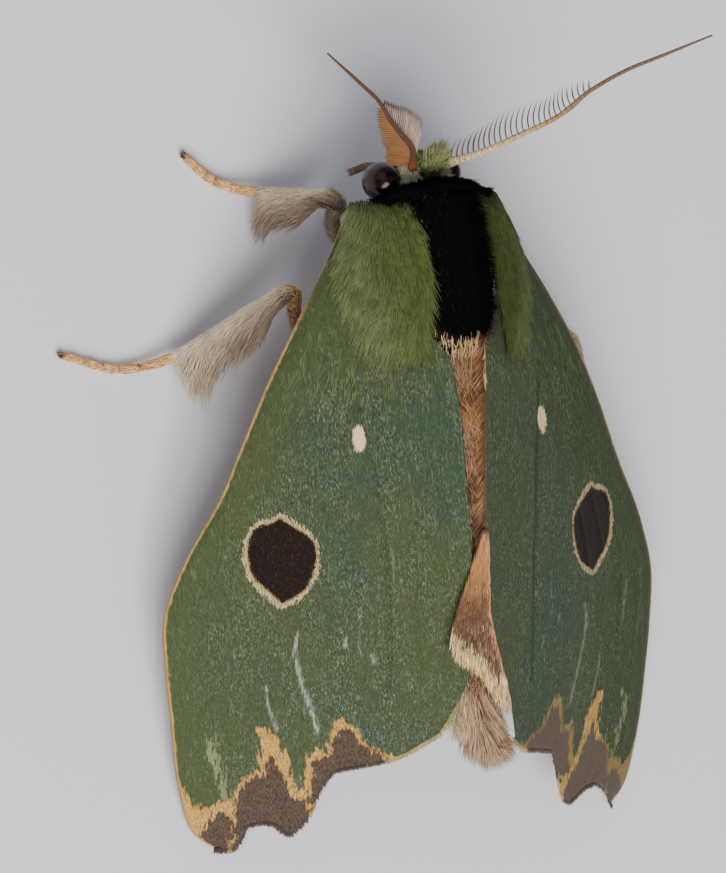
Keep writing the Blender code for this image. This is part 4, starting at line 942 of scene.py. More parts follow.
shoulder = {
    "inner": {1: [(1.15, 1.45), (1.14, 3.0), (1.1, 4.3), (1.25, 5.0), (1.45, 5.7), (1.6, 6.5), (1.68, 7.2)],
              -1: [(1.65, 1.45), (2.0, 3.0), (2.06, 4.5), (2.1, 6.0), (2.1, 7.2)]},
    "outer": [(2.9, 1.45), (3.5, 2.5), (3.7, 3.5), (3.4, 5.2), (2.3, 7.2)],
    "count": 8800, "width": 0.046, "length": 1.05, "core": 0.55, "clear": 0.2,
    "innerFan": {1: -0.24, -1: 0.04}}
shoulderSkin = Finish("shoulderSkin", 0.8, Specular_IOR_Level=0.15)
shoulderGrain = shoulderSkin.noise(12.0, (1.0, 0.3, 1.0), detail=4)
shoulderSkin.twoTone(shoulderGrain, 0.3, 0.7, (52, 64, 28), (84, 98, 48))
shoulderSkin.bump(shoulderGrain, 0.03)
# the right side's hair is a darker copy of the left's: painted shade on the right cover and on the right
# wing's base hair
shoulderFinishes = {
    1: coatFinish("shoulderHairLeft", [(0.0, (90, 104, 40)), (0.4, (98, 112, 52)), (0.7, (108, 120, 68)),
                                       (1.0, (116, 128, 84))], rootShade=0.55, tips=(146, 158, 104),
                  tipShare=0.35, spread=0.16, roughness=0.8, sheen=0.05, vary=0.16),
    -1: coatFinish("shoulderHairRightPaintedShade", [(0.0, (70, 80, 32)), (0.4, (74, 84, 40)), (0.7, (84, 94, 54)),
                                         (1.0, (88, 100, 62))], rootShade=0.55, tips=(128, 138, 92),
                   tipShare=0.3, spread=0.16, roughness=0.8, sheen=0.05, vary=0.16)}


def shoulderTop(x, y, side):  # ground plus a cushion that rises inside the cover's outline
    flat = np.stack([np.abs(x).ravel(), y.ravel()], axis=1)
    inside = outlineGap(flat, shoulder["inner"][side] + shoulder["outer"][::-1]).reshape(x.shape)
    return shoulderGround(x, y) + 0.1 + shoulder["core"] * smoothStep(inside, -0.35, 0.6)


baseHair = {"count": 7500, "from": 2.6, "run": 6.2, "width": 0.04}
for side, word in bothSides:
    s, t = np.meshgrid(np.linspace(0, 1, 60), np.linspace(0, 1, 44), indexing="ij")
    innerLine, outerLine = splineThrough(shoulder["inner"][side], s), splineThrough(shoulder["outer"], s)
    plan = innerLine * (1 - t[..., None]) + outerLine * t[..., None]
    ground = shoulderGround(plan[..., 0], plan[..., 1])
    swell = (shoulder["core"] - 0.12) * (np.sin(np.pi * t) * np.sin(np.pi * np.clip(s, 0, 1))) ** 0.5
    upper = np.stack([side * plan[..., 0], plan[..., 1], ground + shoulder["clear"] - 0.05 + swell], axis=-1)
    lower = np.stack([side * plan[..., 0], plan[..., 1], ground + shoulder["clear"] - 0.12], axis=-1)
    makePiece("shoulderSkin_" + word, *sheetMesh(upper, lower), shoulderSkin.material, "shoulder_green",
              ("tegula_" + word,))
    count = shoulder["count"]
    spots = scatter(count)
    back, across = 0.84 * spots[:, 0] ** 0.9, spots[:, 1]
    innerLine = splineThrough(shoulder["inner"][side], back)
    outerLine = splineThrough(shoulder["outer"], back)
    root = innerLine * (1 - across[:, None]) + outerLine * across[:, None]
    root[:, 1] -= 0.3 * (1 - smoothStep(back, 0.0, 0.12))
    fan = shoulder["innerFan"][side] * (1 - smoothStep(across, 0.0, 0.3))
    fan = fan + 0.6 * smoothStep(across, 0.25, 1.0) * (1 - 0.6 * back) + random.normal(0, 0.07, count)
    way = np.stack([np.sin(fan), np.cos(fan)], axis=1)
    reach = shoulder["length"] * random.uniform(0.6, 1.2, count) * (0.8 + 0.35 * back)
    f = np.linspace(0, 1, 4)[None, :, None]
    sway = random.normal(0, 0.05, (count, 1, 1)) * f ** 2 * np.stack([way[:, 1], -way[:, 0]], axis=1)[:, None]
    track = root[:, None] + reach[:, None, None] * (f * way[:, None] + sway)
    height = shoulderTop(track[..., 0], track[..., 1], side)
    layer = random.uniform(-0.1, 0.08, count)[:, None]
    rise = 0.12 * np.sin(np.pi * np.minimum(f[..., 0] * 1.2, 1.0))
    floor = wingTop(track[..., 0], track[..., 1]) + 0.03
    z = np.maximum(height + layer * (1 - 0.6 * f[..., 0]) + rise - 0.12 * (1 - f[..., 0]), floor)
    path = np.stack([side * track[..., 0], track[..., 1], z], axis=-1)
    normal = normalise(np.stack([side * (0.1 + 0.4 * across), -0.15 + 0 * across, 1 + 0 * across], axis=1))
    zone = 0.1 + 0.65 * smoothStep(across, 0.1, 1.0) + 0.15 * back
    makeCoat("shoulderHair_" + word, path, normal, shoulder["width"] * random.uniform(0.7, 1.25, count),
             shoulderFinishes[side], "shoulder_green", zone, spots)
    # longer hair-scales on the wing base, mixing the cover into the wing
    count = baseHair["count"]
    spots = scatter(count)
    y = baseHair["from"] + baseHair["run"] * spots[:, 0] ** 1.1
    edge = acrossAt(y, wing["costa"]) - 0.35
    low = np.interp(y, [5.2, 6.0, 6.6, 7.4, 8.6], [2.05, 1.5, 0.95, 0.68, 0.55])
    low = low + (0.12 if side < 0 else 0.0)
    x = low + (edge - low) * spots[:, 1]
    keep = random.random(count) < 1.0 - smoothStep(y, 6.0, 8.4) * 0.85
    x, y, spots = x[keep], y[keep], spots[keep]
    roots = np.stack([side * x, y, wingTop(x, y)], axis=1)
    normal = normalise(np.stack([side * (0.44 + 0 * x), 0.02 * (y - 7), 1 + 0 * x], axis=1))
    lies = np.stack([side * 0.1 * (x - 1.5), 1 + 0 * x, 0 * x], axis=1)
    reach = (1.15 - 0.07 * y) * random.uniform(0.7, 1.3, len(x))
    path = layHair(roots, normal, lies, reach, 0.14, 0.1, 3, spread=0.1, curl=0.08, sink=0.03)
    zone = 0.35 + 0.55 * smoothStep(y, 5.0, 8.5) + 0.15 * smoothStep(x, 2.5, 4.5)
    width = baseHair["width"] * random.uniform(0.7, 1.2, len(x))
    makeCoat("wingBaseHair_" + word, path, normal, width, shoulderFinishes[side], "green_wing", zone, spots)
print("stage: shoulder covers")

# abdomen, margin lobe and tail

abdomenStops = [(0.0, (246, 214, 152)), (0.18, (206, 150, 96)), (0.4, (180, 144, 116)),
                (0.62, (226, 160, 92)), (0.8, (120, 78, 50)), (0.88, (104, 68, 46)), (1.0, (244, 212, 150))]
abdomenFinish = coatFinish("abdomenFur", abdomenStops, rootShade=0.6, tips=(240, 212, 166), tipShare=0.35,
                           spread=0.12)
# painted shade in the bands: the dark brown just behind the black back (zone 0.8 at 7.15 to 7.3) is shade
# under the covers' rear edges, and the run to dark brown towards y 19 is painted shadow under the margin
# lobe's pale end
bands = {"y": [6.8, 7.0, 7.15, 7.3, 7.5, 7.8, 8.4, 8.9, 9.6, 10.4, 11.4, 12.2, 13.0, 15.0, 19.0],
         "zone": [0.14, 0.16, 0.8, 0.8, 0.2, 0.42, 0.76, 0.76, 0.22, 0.4, 0.82, 0.76, 0.6, 0.66, 0.86]}


def abdomenZone(p):  # straw band first, then brown, mauve and orange down the strip
    y = p[:, 1]
    gap = y - backEnd(p)
    band = np.interp(y + 0.35, bands["y"], bands["zone"])
    light = (np.abs(p[:, 0] + 0.2) > 0.5) & (random.random(len(y)) > 0.5) & (y < 7.6)
    return np.where(light | (gap < 0.28), 0.06, band) + random.normal(0, 0.07, len(y))


def paleZone(p):  # the ramp's pale end, a little varied
    return 0.1 + 0.25 * random.random(len(p))


def abdomenReach(p):  # longer where the fur fills the gap between the wings
    return np.interp(p[:, 1], [5.5, 7.0, 9.0, 14.0, 19.0], [0.6, 0.9, 1.25, 1.1, 0.9])


def abdomenLift(p):  # more upright under the wings' edges
    return np.interp(p[:, 1], [5.4, 6.4, 7.6, 13.0, 16.5], [0.35, 0.45, 0.75, 0.75, 0.5])


def onAbdomen(p):
    return (p[:, 1] > backEnd(p)) & (np.abs(p[:, 0]) < 1.3)


topFur = {"count": 9000, "stretch": (5.3, 18.6), "arc": (0.06, 0.44), "length": abdomenReach, "width": 0.044}
sideFur = {"count": 1800, "stretch": (7.2, 19.6), "arc": (0.38, 1.12), "length": 0.75, "width": 0.1}
chestFur = {"count": 2400, "stretch": (0.9, 7.3), "arc": (0.46, 1.04), "length": 0.85, "width": 0.1}
bodyHair("abdomenTopFur", topFur, abdomenFinish, "abdomen_fur", abdomenZone, lift=abdomenLift, droop=0.32,
         spread=0.12, keep=onAbdomen)
bodyHair("abdomenSideFur", sideFur, abdomenFinish, "abdomen_fur", paleZone)
chestFinish = coatFinish("chestFur", [(0.0, (96, 78, 56)), (0.5, (134, 110, 80)), (1.0, (176, 152, 116))],
                         tips=(190, 168, 130), tipShare=0.4)
bodyHair("chestFur", chestFur, chestFinish, "femur_fur", anyZone, lift=0.35)

# fur hanging from the right wing's inner margin, with a cream line along its first third
for name, count, first, last, way, reach, zone in (
        ("marginFur", 4500, 5.0, 13.6, (0.3, 0.9, -0.75), 0.9, 0.74),
        ("marginLine", 420, 5.6, 8.0, (0.0, 1.0, 0.0), 0.4, 0.08)):
    y = first + (last - first) * random.random(count)
    x = -acrossAt(y, wing["innerRight"])
    further = -acrossAt(y + 0.2, wing["innerRight"])
    along = np.stack([(further - x) / 0.2, 0 * y, 0 * y], axis=1)
    x = x + random.uniform(-0.01, 0.04, count)
    roots = np.stack([x, y, wingTop(x, y) - (0.08 if name == "marginFur" else 0.0)], axis=1)
    lies = normalise(np.array(way) + along + random.normal(0, 0.08, (count, 3)))
    f = np.linspace(0, 1, 3)[None, :, None]
    path = roots[:, None] + reach * random.uniform(0.6, 1.2, (count, 1, 1)) * (f * lies[:, None])
    normal = np.tile([0.5, 0.0, 0.85], (count, 1))
    makeCoat(name, path, normal, np.full(count, 0.034), abdomenFinish, "abdomen_fur",
             zone + random.normal(0, 0.1 if name == "marginFur" else 0.02, count),
             np.stack([np.full(count, 0.5), y / 20], axis=1))

tailStops = [(0.0, (104, 78, 58)), (0.4, (184, 150, 120)), (0.75, (210, 178, 142)), (1.0, (234, 204, 158))]
tailFinish = coatFinish("tailFur", tailStops, rootShade=0.6, tips=(216, 188, 150), tipShare=0.35, spread=0.25)
tail = {"count": 6500, "tip": (-0.94, 22.25), "width": 0.06, "start": 18.4, "run": 2.5}
spots = scatter(tail["count"])
y = tail["start"] + tail["run"] * spots[:, 0]
u = (y - bodyLength[0]) / (bodyLength[1] - bodyLength[0])
point, along, around, normal = frameOn(skinShape, u, spots[:, 1])
centreLine = np.stack([-0.5 + 0 * y, y, 4.8 + 0 * y], axis=1)
normal = turnOut(normal, point, centreLine)
c = np.cos(2 * np.pi * spots[:, 1])
lies = np.stack([-0.1 + np.where(c > 0, 0.3, 0.85) * c, 1 + 0 * y, 0.04 - 0.1 * (c < 0)], axis=1)
endX = point[:, 0] + 0.35 * c
# the brush ends square on the animal's left and runs to a blunt tip on the right of the middle
end = np.where(endX > -0.1, 21.0, tail["tip"][1] - 0.75 * np.abs(endX - tail["tip"][0]) ** 1.3)
reach = np.clip(end - y, 0.5, 2.1) * random.uniform(0.75, 1.03, len(y))
path = layHair(point, normal, lies, reach, 0.34, 0.24, spread=0.09, curl=0.1)
# paler on the animal's left, partly the brush's straw colour and partly painted light on the side facing the
# lamp; darker on the right is painted shade; a few hairs darker at random
zone = 0.5 + 0.4 * smoothStep(c, -0.2, 0.9) - 0.5 * (random.random(len(y)) > 0.84)
width = tail["width"] * random.uniform(0.7, 1.3, len(y))
makeCoat("tailFur", path, normal, width, tailFinish, "tail_fur", zone, np.stack([u, spots[:, 1]], axis=1))

# fan of scales on the right wing's inner margin, lying over the left wing's edge
lobe = {"count": 6000, "width": 0.05, "apex": (-0.1, 11.5), "length": 0.55,
        "left": [(0.0, 13.3), (0.12, 13.7), (0.5, 14.8), (0.85, 15.6), (1.1, 16.4), (1.22, 17.0),
                 (1.15, 17.4)],
        "end": [(1.2, 17.45), (1.0, 17.9), (0.5, 18.25), (0.0, 18.65), (-0.5, 19.15), (-0.85, 19.6),
                (-1.5, 19.9)],
        "right": [(-0.35, 13.3), (-0.36, 14.5), (-0.4, 16.0), (-0.72, 17.0), (-1.15, 18.0), (-1.6, 19.1),
                  (-1.85, 19.7)]}
spots = scatter(lobe["count"] * 2)
x = -1.9 + 3.2 * spots[:, 0]
y = 13.3 + 6.6 * spots[:, 1]
leftX, rightX = acrossAt(y, lobe["left"]), acrossAt(y, lobe["right"])
endY = np.interp(x, [p[0] for p in lobe["end"][::-1]], [p[1] for p in lobe["end"][::-1]])
keep = (x < leftX) & (x > rightX) & (y < endY - 0.42)
x, y, endY, spots = x[keep], y[keep], endY[keep], spots[keep]
way = normalise(np.stack([x - lobe["apex"][0], y - lobe["apex"][1]], axis=1) * [0.75, 1.0])
way = normalise(way + random.normal(0, 0.05, way.shape))
reach = lobe["length"] * random.uniform(0.75, 1.25, len(x))
reach = np.minimum(reach, endY - y + random.normal(0.05, 0.07, len(x)))
f = np.linspace(0, 1, 4)[None, :, None]
track = np.stack([x, y], axis=1)[:, None] + reach[:, None, None] * f * way[:, None]
carry = np.maximum(wingTop(track[..., 0], track[..., 1]), wingTop(0.35, track[..., 1]) - 0.03)
carry = np.where(track[..., 0] < -0.3, wingTop(track[..., 0], track[..., 1]), carry)
layer = (0.04 + 0.08 * smoothStep(x, -0.5, 0.3) + 0.06 * random.random(len(x)))[:, None]
z = carry + layer + 0.05 * np.sin(np.pi * f[..., 0]) - 0.06 * (1 - f[..., 0])
path = np.stack([track[..., 0], track[..., 1], z], axis=-1)
normal = np.tile([0.05, 0.0, 1.0], (len(x), 1))
gap = endY - y
zone = np.interp(y, [13.3, 14.6, 15.6, 16.8], [0.6, 0.66, 0.78, 0.86])
beside = x - acrossAt(y, lobe["right"])
zone = np.where(beside < random.uniform(0.05, 0.25, len(x)), 0.58, zone)
near = 1 - smoothStep(beside, 0.0, 0.5)
zone = np.where(gap < 1.1 + 0.7 * near + random.normal(0, 0.1, len(x)), 0.98, zone)
zone = zone + random.normal(0, 0.02, len(x))
makeCoat("marginLobe", path, normal, lobe["width"] * random.uniform(0.7, 1.3, len(x)), abdomenFinish,
         "abdomen_fur", zone, spots)
print("stage: abdomen and tail")

# feelers

feeler = {
    "base": (0.62, 0.2), "stations": 120, "sides": 14, "rami": {1: 29, -1: 27}, "combStart": 0.02,
    "combEnd": 0.56, "lean": {1: 0.42, -1: 0.58}, "ramusWidth": {1: 0.055, -1: 0.066},
    "left": [(1.6, -0.5, 8.15), (2.59, -1.0, 9.2), (3.32, -1.43, 9.9), (4.47, -2.3, 11.0),
             (5.24, -2.74, 11.55), (7.36, -4.04, 12.85)],
    "right": [(-1.73, -0.13, 7.5), (-2.96, -0.61, 8.25), (-4.07, -1.07, 8.85), (-5.2, -1.88, 9.45),
              (-6.25, -2.4, 9.9), (-7.96, -2.94, 10.5), (-9.56, -3.43, 11.05)],
    "faceLeft": (0.24, -0.69, -0.68), "faceRight": (-0.42, -0.70, -0.58), "openLeft": 1.0, "openRight": 0.8}


def shaftFinish(name, stops):  # ringed, scaly shaft, its ramp running from root to tip
    f = Finish(name, 0.6, Specular_IOR_Level=0.3)
    onShaft = f.value("along")
    rings = f.sum("SINE", f.sum("MULTIPLY", onShaft, 2 * np.pi * 52))
    scales = f.noise(14.0, detail=3)
    tone = f.mix(f.between(rings, -0.2, 0.9, 0.0, 0.3), f.ramp(onShaft, stops), screenColour((90, 62, 46)))
    tone = f.mix(f.between(scales, 0.5, 0.7, 0.0, 0.5), tone, screenColour((110, 78, 52)))
    f.colour(f.mix(1.0, tone, f.grey(f.between(scales, 0.25, 0.75, 1.2, 0.8)), "MULTIPLY"))
    f.bump(f.sum("ADD", rings, scales), 0.015, 0.6)
    return f.material


shaftFinishes = {
    1: shaftFinish("feelerShaftDark", [(0.0, (150, 86, 36)), (0.06, (128, 74, 38)), (0.14, (92, 62, 44)),
                                       (0.5, (84, 58, 44)), (1.0, (96, 72, 56))]),
    -1: shaftFinish("feelerShaftPale", [(0.0, (244, 222, 174)), (0.22, (226, 194, 140)),
                                        (0.45, (170, 128, 82)), (0.6, (124, 94, 68)), (1.0, (128, 104, 86))])}
ramusFinish = coatFinish("feelerComb", [(0.0, (158, 108, 50)), (0.3, (138, 74, 28)), (0.6, (88, 56, 42)),
                                        (1.0, (226, 192, 172))], rootShade=0.9, spread=0.08, roughness=0.5,
                         vary=0.12)

for side, word in bothSides:
    baseX, baseY = feeler["base"]
    row = splineThrough(bodyStations, np.array([baseY]), key=0)[0]
    baseZ = row[2] + row[4] * np.sqrt(1 - (baseX / row[3]) ** 2)
    out = normalise(np.array([baseX / row[3] ** 2, -0.225, (baseZ - row[2]) / row[4] ** 2]))
    foot = (np.array([baseX, baseY, baseZ]) + out * 0.05) * [side, 1, 1]
    line = splineThrough([foot] + feeler[word], feeler["stations"])
    f = np.linspace(0, 1, feeler["stations"])
    ahead, across, up = pathFrames(line, np.array([0.0, 0.3, 1.0]))
    radius = np.interp(f, [0, 0.03, 0.06, 0.3, 0.56, 0.8, 1.0], [0.16, 0.19, 0.13, 0.1, 0.08, 0.068, 0.035])
    radius = radius * (1 + 0.05 * np.cos(2 * np.pi * 52 * f))
    points, quads, triangles = tubeMesh(ringsAbout(line, across, up, radius, feeler["sides"]))
    values = {"along": np.concatenate([np.repeat(f, feeler["sides"]), [0.0, 1.0]])}
    makePiece("feelerShaft_" + word, points, quads, triangles, shaftFinishes[side], "comb",
              ("antenna_" + word,), values)
    # rami: spot + reach (g out + lean g^2 ahead), in two rows either side of the comb's face
    face = np.array(feeler["faceLeft"] if side > 0 else feeler["faceRight"])
    opening = feeler["openLeft"] if side > 0 else feeler["openRight"]
    count = feeler["rami"][side]
    share = np.linspace(feeler["combStart"] + 0.01, feeler["combEnd"] - 0.01, count)
    spot = alongPath(share, f, line)
    forward = normalise(alongPath(share, f, ahead))
    toward = normalise(face - forward * (forward @ face)[:, None])
    flank = np.cross(forward, toward)
    place = share / feeler["combEnd"]
    lengths = {-1: np.interp(place, [0, 0.3, 0.6, 0.9, 1.0], [1.0, 1.12, 0.9, 0.4, 0.2]),
               1: np.interp(place, [0, 0.15, 0.5, 0.9, 1.0], [0.8, 1.0, 0.8, 0.3, 0.15])}
    if side < 0:
        lengths = {turn: np.interp(place, [0, 0.35, 0.8, 1.0], [0.62, 1.02, 0.75, 0.32]) for turn in (-1, 1)}
    paths, normals, zones, widths, places = [], [], [], [], []
    g = np.linspace(0, 1, 8)[None, :, None]
    for turn in (-1, 1):
        outWay = toward * np.cos(opening) + turn * flank * np.sin(opening)
        bent = g * outWay[:, None] + feeler["lean"][side] * g ** 2.4 * forward[:, None]
        ramus = spot[:, None] + lengths[turn][:, None, None] * bent
        paths.append(ramus)
        normals.append(forward)
        zones.append(np.full(count, 0.6 if side < 0 else 0.06 if turn > 0 else 0.97))
        widths.append(np.full(count, feeler["ramusWidth"][side]))
        places.append(np.stack([share, np.full(count, 0.4 + 0.2 * turn)], axis=1))
    makeCoat("feelerComb_" + word, np.concatenate(paths), np.concatenate(normals), np.concatenate(widths),
             ramusFinish, "comb", np.concatenate(zones), np.concatenate(places), thin=0.8, slender=6.0)
    # fine bristles along each ramus, filling the comb to a soft sheet
    bristles = []
    bristleNormals = []
    bristleZones = []
    for turn, ramus in zip((-1, 1), paths):
        for along in np.linspace(0.06, 0.97, 34 if side > 0 else 12):
            k = along * 7
            low = int(k)
            spotOn = ramus[:, low] + (ramus[:, min(low + 1, 7)] - ramus[:, low]) * (k - low)
            outWay = toward * np.cos(opening) + turn * flank * np.sin(opening)
            for lean in (-1, 1):
                tipWay = normalise(lean * forward + 0.55 * outWay + random.normal(0, 0.05, forward.shape))
                h = np.linspace(0, 1, 3)[None, :, None]
                lift = 0.02 * h * toward[:, None] if turn > 0 else 0.06 * toward[:, None]
                bristles.append(spotOn[:, None] + (0.15 if side > 0 else 0.08) * h * tipWay[:, None] + lift)
                bristleNormals.append(toward)
                rust = 0.28 * (1 - smoothStep(place, 0.0, 0.22))
                dark = 0.56 if along < 0.6 and turn < 0 else 0.0
                bristleZones.append(np.maximum(rust, dark) + 0.04 if side > 0 else np.full(count, 0.75))
    bristlePath = np.concatenate(bristles)
    total = len(bristlePath)
    makeCoat("feelerBristles_" + word, bristlePath, np.concatenate(bristleNormals),
             np.full(total, 0.036 if side > 0 else 0.012), ramusFinish, "comb", np.concatenate(bristleZones),
             np.stack([np.tile(share, total // count), np.linspace(0.1, 0.9, total)], axis=1))
print("stage: feelers")

# legs and palps

# side, hip in the plan, points between hip and knee, knee, heel, points to the foot's tip
legs = {
    "leg_fore_left": (1, (1.3, 3.2), [(1.75, 1.95, 1.85)], (1.78, 1.0, 3.3), (3.7, 0.54, 0.75),
                      [(5.3, 0.0, 0.24), (6.4, -1.09, 0.2)]),
    "leg_fore_right": (-1, (1.3, 3.2), [(1.75, 1.95, 1.85)], (1.9, 1.0, 3.25), (3.8, 1.0, 0.75),
                       [(4.7, 1.15, 0.24), (5.7, 1.3, 0.2)]),
    "leg_mid_left": (1, (1.5, 4.9), [(2.9, 5.7, 1.15), (3.6, 4.93, 2.0)], (4.35, 3.9, 3.6),
                     (7.84, 6.09, 0.7), [(9.96, 6.38, 0.24), (12.25, 5.57, 0.2)]),
    "leg_mid_right": (-1, (1.5, 4.9), [(2.9, 5.9, 1.1)], (7.5, 6.6, 3.0), (7.7, 9.3, 0.7),
                      [(7.9, 11.0, 0.24), (8.3, 12.6, 0.2)]),
    "leg_hind_left": (1, (1.3, 6.2), [(2.2, 7.0, 1.2)], (4.2, 9.5, 3.1), (4.6, 14.3, 0.75),
                      [(4.9, 16.0, 0.24), (5.5, 17.8, 0.2)]),
    "leg_hind_right": (-1, (1.3, 6.2), [(2.2, 7.0, 1.2)], (4.2, 9.5, 3.1), (4.6, 14.3, 0.75),
                       [(4.9, 16.0, 0.24), (5.5, 17.8, 0.2)])}
legCoat = {
    "bend": 0.85, "sides": 14,
    "brush": {"leg_fore": (1.7, 1.05), "leg_mid": (2.2, 0.85), "leg_hind": (1.2, 0.4)},
    "counts": {"femur": 1500, "tibia": 3000, "tarsus": 1200},
    "shown": ("leg_fore_left", "leg_mid_left"), "hiddenShare": 0.3}
legSkin = Finish("legSkin", 0.6, Specular_IOR_Level=0.3)
legGrain = legSkin.noise(9.0, detail=4)
legSkin.twoTone(legGrain, 0.3, 0.7, (120, 84, 50), (168, 122, 74))
legSkin.bump(legGrain, 0.02, 0.6)
femurStops = [(0.0, (136, 114, 94)), (0.4, (164, 136, 108)), (0.75, (250, 206, 152)), (1.0, (255, 222, 170))]
femurFinish = coatFinish("femurFur", femurStops, rootShade=0.9, tips=(214, 190, 156), tipShare=0.35,
                         spread=0.25)
shinFinish = coatFinish("foreFemurFur", [(0.0, (176, 152, 130)), (1.0, (206, 180, 152))], rootShade=0.8,
                        tips=(220, 198, 172), tipShare=0.4)
tibiaStops = [(0.0, (255, 240, 208)), (0.3, (226, 206, 174)), (0.65, (180, 156, 130)), (1.0, (142, 118, 96))]
tibiaFinish = coatFinish("tibiaFur", tibiaStops, rootShade=0.7, tips=(232, 212, 182), tipShare=0.5,
                         spread=0.3)
tarsusStops = [(0.0, (232, 170, 104)), (0.5, (250, 192, 122)), (0.85, (255, 214, 156)), (1.0, (80, 46, 30))]
tarsusFinish = coatFinish("tarsusScales", tarsusStops, rootShade=0.9, spread=0.2, roughness=0.6)


def thoraxBelow(x, y):  # z0 - drop sqrt(1 - (x/half)^2), and the direction straight out of it
    row = splineThrough(thoraxRows, np.array([y]), key=0)[0]
    z = row[2] - row[5] * np.sqrt(1.0 - (x / row[3]) ** 2)
    return np.array([x, y, z]), normalise(np.array([x / row[3] ** 2, 0.0, (z - row[2]) / row[5] ** 2]))


for name, (side, hip, between, knee, heel, rest) in legs.items():
    foot, out = thoraxBelow(*hip)
    way = normalise(np.array(between[0]) - foot)
    line, length, turns = roundedPath([foot - way * 0.25] + between + [knee, heel] + rest, legCoat["bend"])
    whole = length[-1]
    kneeEnd, heelEnd = turns[len(between)] + 0.1, turns[len(between) + 1] + 0.1
    stops = np.linspace(0, whole, 150)
    dense = alongPath(stops, length, line)
    ahead = normalise(np.gradient(dense, axis=0))
    hint = np.array([0.0, 0.0, 1.0])
    across = np.zeros_like(dense)
    hold = np.cross(ahead[-1], hint)
    for i in range(len(dense) - 1, -1, -1):
        hold = normalise(hold - ahead[i] * (hold @ ahead[i]))
        across[i] = hold
    up = np.cross(across, ahead)
    radius = np.interp(stops, [0, turns[0], 0.5 * (turns[0] + kneeEnd), kneeEnd, kneeEnd + 0.5, heelEnd - 0.5,
                               heelEnd + 0.1, heelEnd + 0.5, whole - 0.5, whole - 0.12, whole],
                       [0.2, 0.2, 0.24, 0.16, 0.22, 0.17, 0.13, 0.15, 0.13, 0.1, 0.04])
    segment = (whole - heelEnd) / 5
    waist = (np.cos(2 * np.pi * (stops - heelEnd) / segment) < -0.55) * (stops > heelEnd + 0.3)
    radius = radius - 0.03 * waist
    rings = ringsAbout(dense, across, up, radius, legCoat["sides"])
    rings[..., 2] = np.maximum(rings[..., 2], 0.0)
    rings[..., 0] *= side
    parts = ("femur", "tibia", "tarsus")
    makePiece("legSkin_" + name[4:], *tubeMesh(rings), legSkin.material, "femur_fur",
              tuple(name + "_" + part for part in parts))
    spans = {"femur": (0.3, kneeEnd - 0.5), "tibia": (kneeEnd - 0.8, heelEnd - 1.05),
             "tarsus": (heelEnd - 1.2, whole - 0.1)}
    kind = name.rsplit("_", 1)[0]
    longest, backward = legCoat["brush"][kind]
    for part in parts:
        start, stop = spans[part]
        count = int(legCoat["counts"][part] * (1.0 if name in legCoat["shown"] else legCoat["hiddenShare"]))
        spots = scatter(count)
        place = start + spots[:, 0] * (stop - start)
        turnAngle = 2 * np.pi * spots[:, 1]
        at = [alongPath(place, stops, a) for a in (dense, ahead, across, up)]
        middle, onward, sideways, upward = [at[0]] + [normalise(a) for a in at[1:]]
        normal = normalise(sideways * np.cos(turnAngle)[:, None] + upward * np.sin(turnAngle)[:, None])
        roots = middle + normal * np.interp(place, stops, radius)[:, None] * 0.85
        f = spots[:, 0]
        if part == "tibia":
            back = np.where((np.abs(onward[:, 1]) < 0.8)[:, None], [[0.0, 1.0, 0.0]], [[1.0, 0.0, 0.0]])
            back = normalise(back - onward * np.sum(back * onward, axis=1, keepdims=True))
            weight = np.clip(0.5 + 0.5 * np.sum(normal * back, axis=1), 0, 1)
            profile = smoothStep(f, -0.25, 0.3)
            reach = (0.3 + (longest - 0.3) * weight ** 1.5 * profile) * random.uniform(0.7, 1.12, count)
            late = smoothStep(f, 0.45, 1.0)[:, None]
            lies = onward * (1 - 0.7 * late * weight[:, None])
            lies = lies + backward * weight[:, None] * back * (0.9 + 0.3 * late)
            lies = lies + 0.4 * (1 - weight[:, None]) * normal
            travel = np.sum(normalise(lies) * onward, axis=1)
            reach = np.minimum(reach, (stop + 0.35 - place) / np.maximum(travel, 0.2))
            bow = 0.15 * normal + 0.15 * weight[:, None] * back
            pale = 0.55 * f if kind == "leg_mid" else 0.15 * f
            zone = 0.02 + (0.95 - pale) * weight ** 0.7 + random.normal(0, 0.08, count)
            width, finish = 0.058 if name in legCoat["shown"] else 0.1, tibiaFinish
        elif part == "femur":
            reach = (0.36 if kind == "leg_mid" else 0.5) * random.uniform(0.7, 1.3, count)
            lies = onward + 0.25 * normal
            bow = 0.12 * normal
            zone = (0.85 if kind == "leg_mid" else 0.3) + random.normal(0, 0.12, count)
            width, finish = 0.05, shinFinish if kind == "leg_fore" else femurFinish
        else:
            reach = 0.3 * random.uniform(0.7, 1.2, count)
            lies = onward + 0.16 * normal
            bow = 0.05 * normal
            zone = 0.45 + 0.3 * random.random(count) + 0.5 * (f > 0.965)
            width, finish = 0.065, tarsusFinish
        g = np.linspace(0, 1, 4)[None, :, None]
        course = g * normalise(lies)[:, None] + (g - g ** 2) * bow[:, None]
        track = roots[:, None] + reach[:, None, None] * course
        track = track + random.normal(0, 0.05, (count, 1, 3)) * reach[:, None, None] * g ** 2
        track[..., 2] = np.maximum(track[..., 2], 0.03)
        track[..., 0] *= side
        normal = normal * [side, 1, 1]
        slotName = {"femur": "femur_fur", "tibia": "tibia_fur", "tarsus": "tarsus"}[part]
        width = width * random.uniform(0.7, 1.25, count)
        makeCoat("legFur_" + name[4:] + "_" + part, track, normal, width, finish, slotName, zone,
                 np.stack([f, spots[:, 1]], axis=1), thin=0.3)

